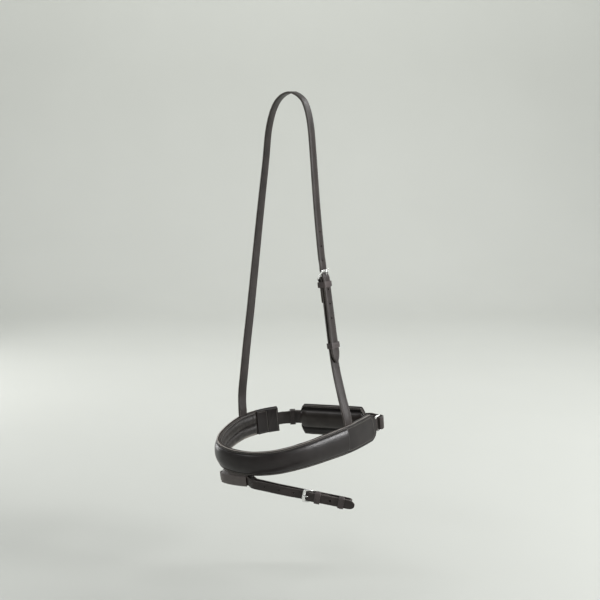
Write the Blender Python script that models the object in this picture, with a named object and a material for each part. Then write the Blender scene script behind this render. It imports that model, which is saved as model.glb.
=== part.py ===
"""Padded crank noseband with a flash strap, hanging by its sliphead.

Metres, +Z up. The origin is the underside of the sliphead at the poll, where the noseband hangs.
X runs from the off side (-) to the near side (+), and Y from the nose (-) to the chin (+).
Straps are lofted along routes, and buckles are built in a local frame on their strap's route.
"""

import math

import bmesh
import bpy
from mathutils import Vector

# General sizes
clearance = 0.0003  # gap kept between pieces that touch
strap_edge = 0.0005  # bevel along every strap edge
cut_overrun = 0.002  # how far a cutter passes the leather it cuts
route_step = 0.0005  # fineness of the smooth routes
tangent_reach = 0.0004  # half the distance over which a route's direction is read
long_step = 0.024  # distances between cross-sections, on straight and on bent runs
run_step = 0.016
tail_step = 0.012
chin_step = 0.008
arch_step = 0.0065

# Sliphead and near cheek strap
sliphead_width = 0.0160
sliphead_thickness = 0.0030
cheek_thickness = 0.0028
billet_gap = 0.0013  # air between the sliphead's end and the cheek strap under it
hang_drop = 0.500  # poll to the middle plane of the band
arch_reach = 0.100  # the arch table's sideways unit
poll_flat_length = 0.008  # straight piece over the poll
poll_seat_half = 0.0035  # half the length of the flat seat under the poll
off_arch_length = 0.150  # bent part of the sliphead on each side of the poll
near_arch_length = 0.080
heel_drop = 0.2635  # poll down to the sliphead buckle's heel bar
sliphead_tail = 0.1235  # heel bar to the tip of the sliphead
sliphead_tip_length = 0.014
sliphead_slider_place = 0.098  # heel bar to the middle of the sliding keeper
cheek_turnback = 0.0345  # length of leather folded back behind the buckle

# Holes
hole_pitch = 0.021
hole_diameter = 0.0030
used_hole_length = 0.0052
used_hole_width = 0.0026
holes_above = 3
holes_below = 3

# Buckles: wire, prong and leather round the heel bar
bar_radius = 0.0012
side_bar_radius = 0.0012
front_bar_width = 0.0040
front_bar_thickness = 0.0018
bar_spacing = 0.0104
prong_radius = 0.00075
prong_slot_clearance = 0.00045
fold_thickness = 0.0017
turned_back_thickness = 0.0016
turned_back_run_in = 0.0075  # length over which the folded layer comes up to the strap
frame_side_clearance = 0.0006
frame_corner = 0.0023

# Keepers
keeper_width = 0.0082
keeper_thickness = 0.0014
keeper_start = 0.0045  # heel bar to the near edge of a fixed keeper
keeper_clearance = 0.0004
keeper_corner = 0.0012

# Band: the nosepiece and its layers
band_tilt_deg = 9.1  # the nose hangs lower than the chin
band_half_width = 0.100
band_depth = 0.120
nose_height = 0.036
tab_height = 0.043
off_tab_height = 0.039
outer_leather = 0.0020
crown_rise = 0.0046
crown_height_share = 0.80
crown_setback = 0.045  # tab end to the end of the padded crown
crown_fade = 0.016
middle_thickness = 0.0028
lining_setback = 0.035
lining_edge = 0.0018
lining_roll = 0.0042
lining_fade = 0.006
lining_inset = 0.0008
off_strap_place = 0.059  # off tab end to the sliphead sewn into the cheek
near_strap_place = 0.0585
near_tab_extra = 0.0095  # how much longer the near tab is than the off tab
pocket_depth = 0.022

# Tabs
facing_thickness = 0.0017
sewn_end_length = 0.0165
sewn_end_rise = 0.0012
crank_tongue = 0.026  # length of crank strap sewn into the off tab
skived_thickness = 0.0020  # straps thinned where they are sewn between the band's layers
band_step = 0.0135  # longest and
band_turn_deg = 9.0  # sharpest step between the band's cross-sections
near_tab_round = 0.017  # length over which the near tab's end is rounded
ring_bar_radius = 0.0015
ring_spacing = 0.0100
ring_window = 0.0206
ring_corner = 0.0022
ring_setout = 0.0036  # tab end to the ring's inner bar
ring_chape_width = 0.0185
ring_chape_thickness = 0.0011
ring_chape_tail = 0.024

# Crank strap and chin pad
crank_width = 0.020
crank_thickness = 0.0024
fold_room = 0.0012  # loose room round the ring's outer bar
pad_length = 0.094
pad_height = 0.047
pad_face = 0.0020
pad_foam_depth = 0.0030
pad_roll_rise = 0.0060
pad_roll_height = 0.029
pad_groove_width = 0.0036
pad_groove_depth = 0.0016
pad_backing = 0.0026
pad_end_bulge = 0.006
pad_end_corner_share = 0.98
pad_roll_lift_share = 0.5  # how far the roll sits above the middle, of the upper rim's width
pad_start_drop = 0.0017  # how much lower the pad's off end hangs than the band's plane
crank_heel_place = 0.055  # pad's off end to the crank buckle's heel bar
crank_turnback = 0.024
crank_billet_past = 0.088  # heel bar to the tip of the billet
crank_tip_length = 0.010
crank_keeper_start = 0.011  # heel bar to the near edge of the crank's fixed keeper
crank_root_gap = 0.0135  # heel bar to the root of the billet
crank_slider_place = 0.0765  # heel bar to the middle of the sliding keeper

# Flash strap and its holder
flash_width = 0.0127
flash_thickness = 0.0024
flash_heel_place = 0.1284  # holder's middle to the flash buckle's heel bar
flash_tail = 0.0615  # heel bar to the strap's round tip
flash_tip_length = 0.008
flash_bend_place = 0.0515  # heel bar to where the strap turns back
flash_layer_gap = 0.0086  # front run to back run
flash_turnback = 0.024
flash_slider_place = 0.0425
flash_left_overhang = 0.0048  # holder's end to the left bend
holder_length = 0.046
holder_wall = 0.0012
holder_web = 0.0022
holder_hang = 0.0022  # from the band's lower edge to the tunnel's top
holder_sag = 0.0034  # how much lower the tunnel hangs at its left end
holder_flare = 0.0036  # how far its left end stands out from the band's curve
holder_web_reach = 0.010  # how far the web goes up between the layers
holder_share = 0.4345  # place of the holder's middle along the nosepiece

# The nosepiece's line in plan, off tab to near tab, as shares of band_half_width and band_depth
nose_line_shares = (
    (-0.490, 0.367), (-0.605, 0.275), (-0.701, 0.175), (-0.780, 0.060), (-0.828, -0.060),
    (-0.841, -0.210), (-0.829, -0.400), (-0.783, -0.610), (-0.690, -0.785), (-0.546, -0.902),
    (-0.370, -0.968), (-0.170, -0.992), (0.070, -0.962), (0.316, -0.846), (0.560, -0.594),
    (0.762, -0.269), (0.940, 0.080), (1.010, 0.300), (1.048, 0.455), (1.072, 0.535),
)
# The rounded end of the near tab: how much of near_tab_round is left, then the shares of the
# half height that are left above and below
near_tab_end_shares = (
    (1.00, 1.00, 1.00), (0.62, 1.00, 1.00), (0.50, 0.94, 0.97), (0.25, 0.72, 0.86),
    (0.10, 0.59, 0.72), (0.00, 0.48, 0.52),
)
# How far the sliphead's face looks up on the legs and on the arch
leg_lean_share = 0.13
arch_lean_share = 0.9
# How far each leg's face turns towards the nose
off_leg_turn_share = 0.21
near_leg_turn_share = 0.08
# The sliphead's legs, from the poll down, as shares of arch_reach and hang_drop
off_leg_shares = (
    (-0.130, -0.0045), (-0.222, -0.0210), (-0.289, -0.0440), (-0.336, -0.0700), (-0.380, -0.1080),
    (-0.427, -0.1920), (-0.484, -0.2800), (-0.540, -0.3690), (-0.594, -0.4580), (-0.649, -0.5490),
    (-0.704, -0.6400), (-0.760, -0.7320), (-0.805, -0.8260), (-0.832, -0.9000),
)
near_leg_shares = (
    (0.115, -0.0035), (0.205, -0.0190), (0.262, -0.0430), (0.298, -0.0700), (0.328, -0.1080),
    (0.364, -0.1880), (0.399, -0.2740), (0.438, -0.3600), (0.485, -0.4460), (0.540, -0.5360),
    (0.600, -0.6200), (0.662, -0.7060), (0.735, -0.7920), (0.825, -0.8680),
)
# The crank strap from the off tab to the chin pad, as shares of band_half_width, band_depth
# and pad_start_drop
crank_line_shares = ((-0.410, 0.425, 0.45), (-0.310, 0.480, 0.85))
pad_start_shares = (-0.105, 0.539)
pad_end_shares = (0.830, 0.640)
# The crank billet between the pad and the near ring, out and back, same shares
billet_out_shares = ((0.992, 0.641),)
billet_back_shares = ((1.010, 0.700), (0.900, 0.712))
# The flash strap from its holder, in plan and height, as shares of band_half_width,
# band_depth and hang_drop
flash_line_shares = (
    (0.040, -1.008, -1.0934), (0.210, -0.998, -1.0958), (0.410, -0.960, -1.1013),
    (0.610, -0.902, -1.1078), (0.830, -0.831, -1.1156), (1.090, -0.747, -1.1243),
    (1.320, -0.672, -1.1328), (1.480, -0.620, -1.1386),
)


def clear_scene():
    for old in list(bpy.data.objects):
        bpy.data.objects.remove(old, do_unlink=True)


def make_material(name, colour, roughness, metallic):
    material = bpy.data.materials.new(name)
    material.use_nodes = True
    shader = material.node_tree.nodes["Principled BSDF"]
    shader.inputs["Base Color"].default_value = (*colour, 1.0)
    shader.inputs["Roughness"].default_value = roughness
    shader.inputs["Metallic"].default_value = metallic
    material.diffuse_color = (*colour, 1.0)
    return material


looks = {
    "leather": ((0.030, 0.025, 0.023), 0.50, 0.0),
    "edge": ((0.020, 0.017, 0.016), 0.60, 0.0),
    "lining": ((0.045, 0.038, 0.034), 0.65, 0.0),
    "foam": ((0.200, 0.190, 0.170), 0.90, 0.0),
    "steel": ((0.620, 0.620, 0.610), 0.22, 1.0),
}


def finish(name, mesh_data, look, pivot=None):
    """Makes the object, closed and facing out, with its origin at the pivot."""
    mesh_data.normal_update()
    bmesh.ops.recalc_face_normals(mesh_data, faces=mesh_data.faces)
    origin = pivot if pivot is not None else Vector((0, 0, 0))
    for vertex in mesh_data.verts:
        vertex.co = vertex.co - origin
    mesh = bpy.data.meshes.new(name)
    mesh_data.to_mesh(mesh)
    mesh_data.free()
    mesh.shade_smooth()
    mesh.set_sharp_from_angle(angle=math.radians(38))
    colour, roughness, metallic = looks[look]
    mesh.materials.append(make_material(name, colour, roughness, metallic))
    obj = bpy.data.objects.new(name, mesh)
    obj.location = origin
    bpy.context.scene.collection.objects.link(obj)
    return obj


def add_loft(mesh_data, rings, closed=False):
    """Joins rings of points into a tube, with end caps unless the tube closes on itself."""
    rows = [[mesh_data.verts.new(point) for point in ring] for ring in rings]
    count = len(rows[0])
    pairs = list(zip(rows, rows[1:]))
    if closed:
        pairs.append((rows[-1], rows[0]))
    for first, second in pairs:
        for i in range(count):
            j = (i + 1) % count
            mesh_data.faces.new((first[i], first[j], second[j], second[i]))
    if not closed:
        mesh_data.faces.new(list(reversed(rows[0])))
        mesh_data.faces.new(rows[-1])


def loft(name, rings, look, closed=False, pivot=None):
    mesh_data = bmesh.new()
    add_loft(mesh_data, rings, closed)
    return finish(name, mesh_data, look, pivot)


def cut(target, cutter):
    """Takes the cutter out of the target with a Boolean."""
    cutter.hide_render = True
    cutter.display_type = "WIRE"
    modifier = target.modifiers.new(cutter.name, "BOOLEAN")
    modifier.operation = "DIFFERENCE"
    modifier.solver = "EXACT"
    modifier.object = cutter


def spline(points):
    """A smooth line through the points, evenly fine, as a list of vectors."""
    padded = [points[0] * 2 - points[1]] + list(points) + [points[-1] * 2 - points[-2]]
    line = []
    for p0, p1, p2, p3 in zip(padded, padded[1:], padded[2:], padded[3:]):
        steps = max(1, round((p2 - p1).length / route_step))
        t1 = max((p1 - p0).length, route_step) ** 0.5
        t2 = max((p2 - p1).length, route_step) ** 0.5
        t3 = max((p3 - p2).length, route_step) ** 0.5
        slope1 = (p1 - p0) / t1 - (p2 - p0) / (t1 + t2) + (p2 - p1) / t2
        slope2 = (p2 - p1) / t2 - (p3 - p1) / (t2 + t3) + (p3 - p2) / t3
        for i in range(steps):
            u = i / steps
            line.append(
                p1 * (2 * u**3 - 3 * u**2 + 1)
                + p2 * (-2 * u**3 + 3 * u**2)
                + slope1 * (t2 * (u**3 - 2 * u**2 + u))
                + slope2 * (t2 * (u**3 - u**2))
            )
    line.append(points[-1])
    return line


class Route:
    """A line in space with an outward side, which pieces are laid along.

    place(s, a, z) gives the point s along the line, a across it and z outward.
    """

    def __init__(self, points, outs=None, up=None, smooth=True):
        self.line = spline(points) if smooth else list(points)
        self.length = 0.0
        self.marks = [0.0]
        for first, second in zip(self.line, self.line[1:]):
            self.length += (second - first).length
            self.marks.append(self.length)
        self.up = up
        self.outs = None
        if outs is not None:
            places = [self.nearest(point) for point in points]
            self.outs = list(zip(places, outs))

    def nearest(self, point):
        best = min(range(len(self.line)), key=lambda i: (self.line[i] - point).length)
        return self.marks[best]

    def point(self, s):
        if s <= 0:
            return self.line[0] + (self.line[1] - self.line[0]).normalized() * s
        if s >= self.length:
            step = (self.line[-1] - self.line[-2]).normalized()
            return self.line[-1] + step * (s - self.length)
        low, high = 0, len(self.marks) - 1
        while high - low > 1:
            middle = (low + high) // 2
            if self.marks[middle] <= s:
                low = middle
            else:
                high = middle
        share = (s - self.marks[low]) / (self.marks[high] - self.marks[low])
        return self.line[low].lerp(self.line[high], share)

    def tangent(self, s):
        return (self.point(s + tangent_reach) - self.point(s - tangent_reach)).normalized()

    def out(self, s):
        along = self.tangent(s)
        if self.up is not None:
            return along.cross(self.up).normalized()
        guide = self.outs[0][1]
        for (place1, out1), (place2, out2) in zip(self.outs, self.outs[1:]):
            if place1 <= s <= place2 and place2 > place1:
                guide = out1.lerp(out2, (s - place1) / (place2 - place1))
                break
            if s > place2:
                guide = out2
        return (guide - along * guide.dot(along)).normalized()

    def place(self, s, a, z):
        out = self.out(s)
        across = out.cross(self.tangent(s)).normalized()
        return self.point(s) + across * a + out * z


class Local:
    """A straight frame at one place of a route. x runs to the strap's tip, z outward."""

    def __init__(self, route, s, forward=True):
        self.origin = route.point(s)
        self.x = route.tangent(s) * (1 if forward else -1)
        self.z = route.out(s)
        self.y = self.z.cross(self.x).normalized()

    def place(self, x, y, z):
        return self.origin + self.x * x + self.y * y + self.z * z


def strap_section(width, thickness):
    """A strap's cross-section with bevelled edges, as (across, out) points."""
    edge = min(strap_edge, thickness * 0.3, width * 0.3)
    w, t = width / 2, thickness / 2
    return (
        (w - edge, -t), (w, -t + edge), (w, t - edge), (w - edge, t),
        (-w + edge, t), (-w, t - edge), (-w, -t + edge), (-w + edge, -t),
    )


def strap_rings(place, nodes):
    """Rings square to a line of (s, z, thickness, width) nodes laid in a route's s-z plane."""
    rings = []
    for i, (s, z, thickness, width) in enumerate(nodes):
        before, after = nodes[max(i - 1, 0)], nodes[min(i + 1, len(nodes) - 1)]
        ds, dz = after[0] - before[0], after[1] - before[1]
        size = math.hypot(ds, dz)
        ds, dz = ds / size, dz / size
        rings.append([
            place(s - dz * out, a, z + ds * out)
            for a, out in strap_section(width, thickness)
        ])
    return rings


def strap(name, place, nodes, look="leather"):
    return loft(name, strap_rings(place, nodes), look)


def tip_nodes(s_tip, tip_length, s_sign, z, thickness, width, pointed):
    """The narrowing end of a strap, pointed or round."""
    shape = ((0.0, 1.0), (0.45, 0.80), (0.80, 0.48), (1.0, 0.22)) if pointed else (
        (0.0, 1.0), (0.40, 0.93), (0.75, 0.70), (1.0, 0.34))
    return [
        (s_tip - s_sign * tip_length * (1 - along), z, thickness, width * share)
        for along, share in shape
    ]


def hole_cutter(name, place, holes):
    """One cutter for a strap's holes, each (s, z, slope, length, width, depth)."""
    mesh_data = bmesh.new()
    sides = 10
    for s, z, slope, length, width, depth in holes:
        ds, dz = math.cos(slope), math.sin(slope)
        rings = []
        for level in (-depth, depth):
            ring = []
            for i in range(sides):
                turn = 2 * math.pi * i / sides
                run = math.cos(turn) * length / 2
                ring.append(place(
                    s + ds * run - dz * level, math.sin(turn) * width / 2, z + dz * run + ds * level
                ))
            rings.append(ring)
        add_loft(mesh_data, rings)
    return finish(name, mesh_data, "edge")


def block_cutter(name, place, s1, s2, a1, a2, z1, z2, steps=1):
    """A box that follows a route, to cut a slot or a pocket."""
    rings = []
    for i in range(steps + 1):
        s = s1 + (s2 - s1) * i / steps
        rings.append([place(s, a1, z1), place(s, a2, z1), place(s, a2, z2), place(s, a1, z2)])
    return loft(name, rings, "edge")


def rounded_loop(half_x, half_y, corner, corner_steps=3, centre_x=0.0):
    """Points of a rounded rectangle with their outward directions."""
    loop = []
    for corner_x, corner_y, start in ((1, 1, 0), (-1, 1, 1), (-1, -1, 2), (1, -1, 3)):
        for i in range(corner_steps + 1):
            turn = (start + i / corner_steps) * math.pi / 2
            direction = (math.cos(turn), math.sin(turn))
            loop.append((
                centre_x + corner_x * (half_x - corner) + direction[0] * corner,
                corner_y * (half_y - corner) + direction[1] * corner,
                direction,
            ))
    return loop


def round_section(radius_u, radius_v, sides=8):
    return [
        (math.cos(2 * math.pi * i / sides) * radius_u, math.sin(2 * math.pi * i / sides) * radius_v)
        for i in range(sides)
    ]


def hoop(name, to_world, loop, section, look, pivot=None):
    """Sweeps a section round a closed loop. section gives (outward, sideways) points."""
    rings = []
    for x, y, direction in loop:
        shape = section(x, y) if callable(section) else section
        rings.append([
            to_world(x + direction[0] * u, y + direction[1] * u, v) for u, v in shape
        ])
    return loft(name, rings, look, closed=True, pivot=pivot)


def keeper(name, local, x1, half_width, z1, z2, pivot=None):
    """A flat leather loop round a stack of straps, from z1 to z2 inside."""
    half_y = half_width + keeper_clearance + keeper_thickness / 2
    half_z = (z2 - z1) / 2 + keeper_clearance + keeper_thickness / 2
    middle_z = (z1 + z2) / 2
    corner = keeper_corner + keeper_thickness / 2
    half_t, half_w = keeper_thickness / 2, keeper_width / 2
    section = [(-half_t, -half_w), (half_t, -half_w), (half_t, half_w), (-half_t, half_w)]
    middle_x = x1 + half_w
    return hoop(
        name,
        lambda y, z, x: local.place(middle_x + x, y, middle_z + z),
        rounded_loop(half_y, half_z, corner),
        section, "leather", pivot,
    )


def buckle_frame(name, local, heel_z, front_z, strap_width):
    """A rectangular frame: round heel bar at x = 0, flat front bar at x = -bar_spacing."""
    rise = front_z - heel_z
    length = math.hypot(bar_spacing, rise)
    cos_rise, sin_rise = bar_spacing / length, rise / length
    half_y = strap_width / 2 + frame_side_clearance + side_bar_radius

    def to_world(x, y, v):
        return local.place(-x * cos_rise - v * sin_rise, y, heel_z + x * sin_rise - v * cos_rise)

    def section(x, _y):
        if x > length - frame_corner:
            return round_section(front_bar_width / 2, front_bar_thickness / 2)
        if x < frame_corner:
            return round_section(bar_radius, bar_radius)
        return round_section(side_bar_radius, side_bar_radius)

    pivot = local.place(0, 0, heel_z)
    return hoop(
        name, to_world, rounded_loop(length / 2, half_y, frame_corner, 3, length / 2),
        section, "steel", pivot,
    )


def buckle_prong(name, local, heel_z, front_z):
    """A bent wire: it wraps the heel bar, passes up through the billet and rests on the front bar."""
    wrap = bar_radius + clearance + prong_radius
    rest_z = front_z + front_bar_thickness / 2 + clearance + prong_radius
    path = []
    wrap_steps = 9
    wrap_turn = math.radians(290)
    for i in range(wrap_steps + 1):
        turn = math.pi + wrap_turn * (1 - i / wrap_steps)
        path.append((wrap * math.cos(turn), heel_z + wrap * math.sin(turn)))
    climb = rest_z - heel_z
    path += [
        (-wrap - bar_spacing * 0.09, heel_z + climb * 0.30),
        (-wrap - bar_spacing * 0.20, heel_z + climb * 0.62),
        (-wrap - bar_spacing * 0.32, heel_z + climb * 0.88),
        (-wrap - bar_spacing * 0.47, rest_z),
        (-bar_spacing - front_bar_width * 0.62, rest_z),
    ]
    sides = 6
    rings = []
    for i, (x, z) in enumerate(path):
        before, after = path[max(i - 1, 0)], path[min(i + 1, len(path) - 1)]
        dx, dz = after[0] - before[0], after[1] - before[1]
        size = math.hypot(dx, dz)
        dx, dz = dx / size, dz / size
        radius = prong_radius * (0.7 if i == len(path) - 1 else 1.0)
        rings.append([
            local.place(
                x - dz * radius * math.cos(2 * math.pi * k / sides),
                radius * math.sin(2 * math.pi * k / sides),
                z + dx * radius * math.cos(2 * math.pi * k / sides),
            )
            for k in range(sides)
        ])
    return loft(name, rings, "steel", pivot=local.place(0, 0, heel_z))


def fold_nodes(heel_z, main_thickness, width, main_on_top):
    """The leather round the heel bar, from the folded-back layer to the main layer, as x-z nodes.

    With main_on_top the main layer lies level above the bar. Otherwise it lies level below it.
    """
    side = -1 if main_on_top else 1
    main_gap = bar_radius + clearance + main_thickness / 2
    front = bar_radius + clearance + fold_thickness / 2
    back = bar_radius + clearance + turned_back_thickness / 2
    nodes = []
    for turn_deg, radius, thickness in (
        (90, back, turned_back_thickness), (125, back, turned_back_thickness),
        (155, front, fold_thickness), (180, front, fold_thickness), (205, front, fold_thickness),
        (235, (front + main_gap) / 2, (fold_thickness + main_thickness) / 2),
        (270, main_gap, main_thickness),
    ):
        turn = math.radians(turn_deg)
        nodes.append((
            radius * math.cos(turn), heel_z + side * radius * math.sin(turn), thickness, width
        ))
    return nodes


def turned_back_nodes(heel_z, main_thickness, width, length, main_on_top):
    """The skived end behind the buckle, from its free end to the heel bar."""
    side = -1 if main_on_top else 1
    near_bar = heel_z + side * (bar_radius + clearance + turned_back_thickness / 2)
    flat = side * (main_thickness / 2 + clearance + turned_back_thickness / 2)
    run = turned_back_run_in
    return [
        (x, near_bar + (flat - near_bar) * share, turned_back_thickness, width)
        for x, share in ((length, 1.0), (length * 0.6, 1.0), (run, 1.0), (run * 0.80, 0.93),
                         (run * 0.55, 0.60), (run * 0.28, 0.15))
    ]


def billet_dip(level_z, thickness, heel_z, front_z):
    """The billet's line from under the front bar up over the heel bar, as x-z pairs."""
    under = front_z - front_bar_thickness / 2 - clearance - thickness * 0.66
    gap = level_z - under
    return [
        (-bar_spacing * 1.75, under + gap * 0.02), (-bar_spacing * 1.30, under - gap * 0.03),
        (-bar_spacing, under), (-bar_spacing * 0.78, under + gap * 0.16),
        (-bar_spacing * 0.56, under + gap * 0.42), (-bar_spacing * 0.34, under + gap * 0.70),
        (-bar_spacing * 0.12, under + gap * 0.92), (bar_spacing * 0.15, level_z),
    ]


def used_hole(dip, thickness):
    """The hole that the prong goes through, square to the billet where it slopes."""
    (x1, z1), (x2, z2) = dip[4], dip[5]
    return (
        (x1 + x2) / 2, (z1 + z2) / 2, math.atan2(z2 - z1, x2 - x1),
        used_hole_length, used_hole_width, thickness / 2 + cut_overrun,
    )


def plain_hole(s, z, thickness):
    return (s, z, 0.0, hole_diameter, hole_diameter, thickness / 2 + cut_overrun)


def spread(start, end, step):
    """Evenly spaced values between two ends, both left out."""
    count = max(1, round(abs(end - start) / step))
    return [start + (end - start) * i / count for i in range(1, count)]


clear_scene()

# The band's own frame: a plane through the hanging point, tipped so that the nose is low
tilt = math.radians(band_tilt_deg)
band_up = Vector((0, -math.sin(tilt), math.cos(tilt)))
band_back = Vector((0, math.cos(tilt), math.sin(tilt)))
band_origin = Vector((0, 0, -hang_drop))


def in_band(x_share, y_share):
    return band_origin + Vector((1, 0, 0)) * (x_share * band_half_width) + band_back * (
        y_share * band_depth)


nose = Route([in_band(x, y) for x, y in nose_line_shares], up=band_up)
nose_length = nose.length


def half_height(s):
    """Half the band's height: low over the nose, higher at the cheeks and tabs."""
    share = min(s, nose_length - s) / (nose_length / 2)
    ease = 1 - min(1, max(0, (share - 0.15) / 0.75))
    ease = ease * ease * (3 - 2 * ease)
    end_height = tab_height if s > nose_length / 2 else off_tab_height
    return (nose_height + (end_height - nose_height) * ease) / 2


def fade(s, setback, length):
    """0 at the tab ends, 1 past the fade, smooth between."""
    distance = min(s, nose_length - near_tab_extra - s) - setback
    share = min(1.0, max(0.0, distance / length))
    return share * share * (3 - 2 * share)


def crown(share, s):
    """Height of the padded crown above the flat leather, share from -1 to 1 across it."""
    return crown_rise * fade(s, crown_setback, crown_fade) * max(0.0, 1 - abs(share) ** 2.4) ** 0.75


crown_places_shares = (-1.0, -0.90, -0.68, -0.36, 0.0, 0.36, 0.68, 0.90, 1.0)


def band_marks():
    """Places along the nosepiece for its cross-sections, closer together where it turns."""
    marks = [0.0]
    s = 0.0
    while s < nose_length - band_step * 0.6:
        s += route_step * 2
        turned = nose.tangent(s).angle(nose.tangent(marks[-1]))
        if s - marks[-1] >= band_step or turned >= math.radians(band_turn_deg):
            marks.append(s)
    return marks + [nose_length]


nose_marks = band_marks()


def band_place(s, h, z):
    """A point of the band, on the same straight runs between cross-sections in every layer."""
    if s <= 0 or s >= nose_length:
        return nose.place(s, h, z)
    for first, second in zip(nose_marks, nose_marks[1:]):
        if s <= second:
            share = (s - first) / (second - first)
            return nose.place(first, h, z).lerp(nose.place(second, h, z), share)


def stations(start, end):
    gap = band_step * 0.08
    return [start] + [mark for mark in nose_marks if start + gap < mark < end - gap] + [end]


def near_tab_ends(setback=0.0):
    """Stations of the near tab's rounded end, each with the shares left above and below."""
    return [
        (nose_length - near_tab_round * left - setback * (left == 0), above, below)
        for left, above, below in near_tab_end_shares
    ]


def outer_ring(s, above=1.0, below=1.0):
    """One cross-section of the outer leather, hollow under the crown."""
    half = half_height(s)
    low, high = -half * below, half * above
    inner = [(half * crown_height_share * u, crown(u, s)) for u in crown_places_shares]
    inner = [(min(max(h, low + strap_edge * (2 + i * 0.1)), high - strap_edge * (3 - i * 0.1)), z)
             for i, (h, z) in enumerate(inner)]
    outer = [(h, z + outer_leather) for h, z in inner]
    edge = strap_edge
    # bottom edge, up the inner side, top edge and back down the outer side
    points = [(low, 0.0)]
    points += inner
    points += [(high, 0.0), (high, outer_leather - edge), (high - edge, outer_leather)]
    points += list(reversed(outer))
    points += [(low + edge, outer_leather), (low, outer_leather - edge)]
    return [band_place(s, h, z) for h, z in points]


def flat_ring(s, low, high, z1, z2):
    return [band_place(s, h, z) for h, z in ((low, z1), (high, z1), (high, z2), (low, z2))]


def facing_ring(s, low, high, top, bottom):
    """A cross-section of a tab facing, bevelled on the side that shows."""
    edge = strap_edge
    return [
        band_place(s, h, z)
        for h, z in (
            (high, top), (low, top), (low, bottom + edge), (low + edge, bottom),
            (high - edge, bottom), (high, bottom + edge),
        )
    ]


def band_cutter(name, s1, s2, h1, h2, z1, z2):
    """A cutter that follows the band between two places."""
    return loft(name, [flat_ring(s, h1, h2, z1, z2) for s in stations(s1, s2)], "edge")


# Nosepiece: outer leather with its crown, its near end rounded
rings = [outer_ring(s) for s in stations(0.0, nose_length - near_tab_round)]
rings += [outer_ring(s, above, below) for s, above, below in near_tab_ends()[1:]]
loft("nosepiece_outer_leather", rings, "leather")

# Foam core under the crown
foam_start = crown_setback + crown_fade
foam_marks = [
    mark for mark in nose_marks if foam_start <= mark <= nose_length - near_tab_extra - foam_start]
rings = []
for s in foam_marks:
    half = half_height(s) * crown_height_share
    thinned = 0.5 if s in (foam_marks[0], foam_marks[-1]) else 1.0
    top = [
        (half * u, max(crown(u, s) * thinned - clearance * 2, clearance))
        for u in (-0.84, -0.55, 0.0, 0.55, 0.84)
    ]
    points = [(half * 0.84, 0.0), *reversed(top), (half * -0.84, 0.0)]
    rings.append([band_place(s, h, z) for h, z in points])
loft("nosepiece_foam_core", rings, "foam")

# Middle layer, with pockets for the sewn-in straps and for the holder's web
lining_end = nose_length - near_tab_extra - lining_setback
middle_top = -clearance
middle_bottom = middle_top - middle_thickness
middle_line = (middle_top + middle_bottom) / 2
rings = []
for s in stations(lining_setback, lining_end):
    half = half_height(s) - lining_inset
    rings.append(flat_ring(s, -half, half, middle_bottom, middle_top))
middle = loft("nosepiece_middle_layer", rings, "edge")
off_strap_s = off_strap_place
near_strap_s = nose_length - near_strap_place
for side, s in (("off", off_strap_s), ("near", near_strap_s)):
    top = half_height(s)
    half = sliphead_width / 2 + clearance * 3
    cut(middle, band_cutter(
        "pocket_cutter_" + side, s - half, s + half,
        top - pocket_depth - clearance, top + cut_overrun,
        middle_bottom - cut_overrun, middle_top + cut_overrun,
    ))

# Lining: two soft rolls along the band with a valley between them
lining_top = middle_bottom - clearance
lining_places_shares = (-1.0, -0.86, -0.62, -0.36, -0.12, 0.12, 0.36, 0.62, 0.86, 1.0)
lining_depth_shares = (0.0, 0.55, 1.0, 0.72, 0.12, 0.12, 0.72, 1.0, 0.55, 0.0)
rings = []
for s in stations(lining_setback, lining_end):
    half = half_height(s) - lining_inset
    puff = lining_roll * (0.5 + 0.5 * fade(s, lining_setback, lining_fade))
    under = [
        (half * u, lining_top - lining_edge - puff * d)
        for u, d in zip(lining_places_shares, lining_depth_shares)
    ]
    points = [(half, lining_top), (-half, lining_top), *under]
    rings.append([band_place(s, h, z) for h, z in points])
loft("nosepiece_lining", rings, "lining")

# Off-side tab facing: built-up layers with a pocket for the crank strap and a thicker sewn end
facing_top = -clearance
facing_bottom = lining_top - facing_thickness
rings = []
for s in stations(0.0, sewn_end_length) + stations(
        sewn_end_length + strap_edge, lining_setback - clearance):
    half = half_height(s) - lining_inset
    rise = sewn_end_rise if s <= sewn_end_length else 0.0
    rings.append(facing_ring(s, -half, half, facing_top, facing_bottom - rise))
off_facing = loft("off_tab_facing", rings, "lining")
tongue_half = crank_width / 2 + clearance
tongue_z = middle_line
pocket_floor = middle_bottom - clearance
cut(off_facing, band_cutter(
    "off_tab_cutter", -cut_overrun, crank_tongue + clearance, -tongue_half, tongue_half,
    pocket_floor, cut_overrun,
))

# Near tab facing, with a pocket for the ring chape
rings = []
for s in stations(lining_end + clearance, nose_length - near_tab_round):
    half = half_height(s) - lining_inset
    rings.append(facing_ring(s, -half, half, facing_top, facing_bottom))
for s, above, below in near_tab_ends()[1:]:
    half = half_height(s) - lining_inset
    rings.append(facing_ring(s, -half * below, half * above, facing_top, facing_bottom))
near_facing = loft("near_tab_facing", rings, "lining")
chape_half = ring_chape_width / 2 + clearance
cut(near_facing, band_cutter(
    "near_tab_cutter", nose_length - ring_chape_tail - clearance, nose_length + cut_overrun,
    -chape_half, chape_half, pocket_floor, cut_overrun,
))

# Near ring: a square ring whose inner bar turns in its chape
ring_local = Local(nose, nose_length)
ring_bar_x = ring_setout
ring_z = tongue_z
ring_pivot = ring_local.place(ring_bar_x, 0, ring_z)
ring_half_x = ring_spacing / 2
ring_half_y = ring_window / 2 + ring_bar_radius
hoop(
    "near_ring",
    lambda x, y, v: ring_local.place(ring_bar_x + x, y, ring_z + v),
    rounded_loop(ring_half_x, ring_half_y, ring_corner, 3, ring_half_x),
    round_section(ring_bar_radius, ring_bar_radius), "steel", ring_pivot,
)

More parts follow.
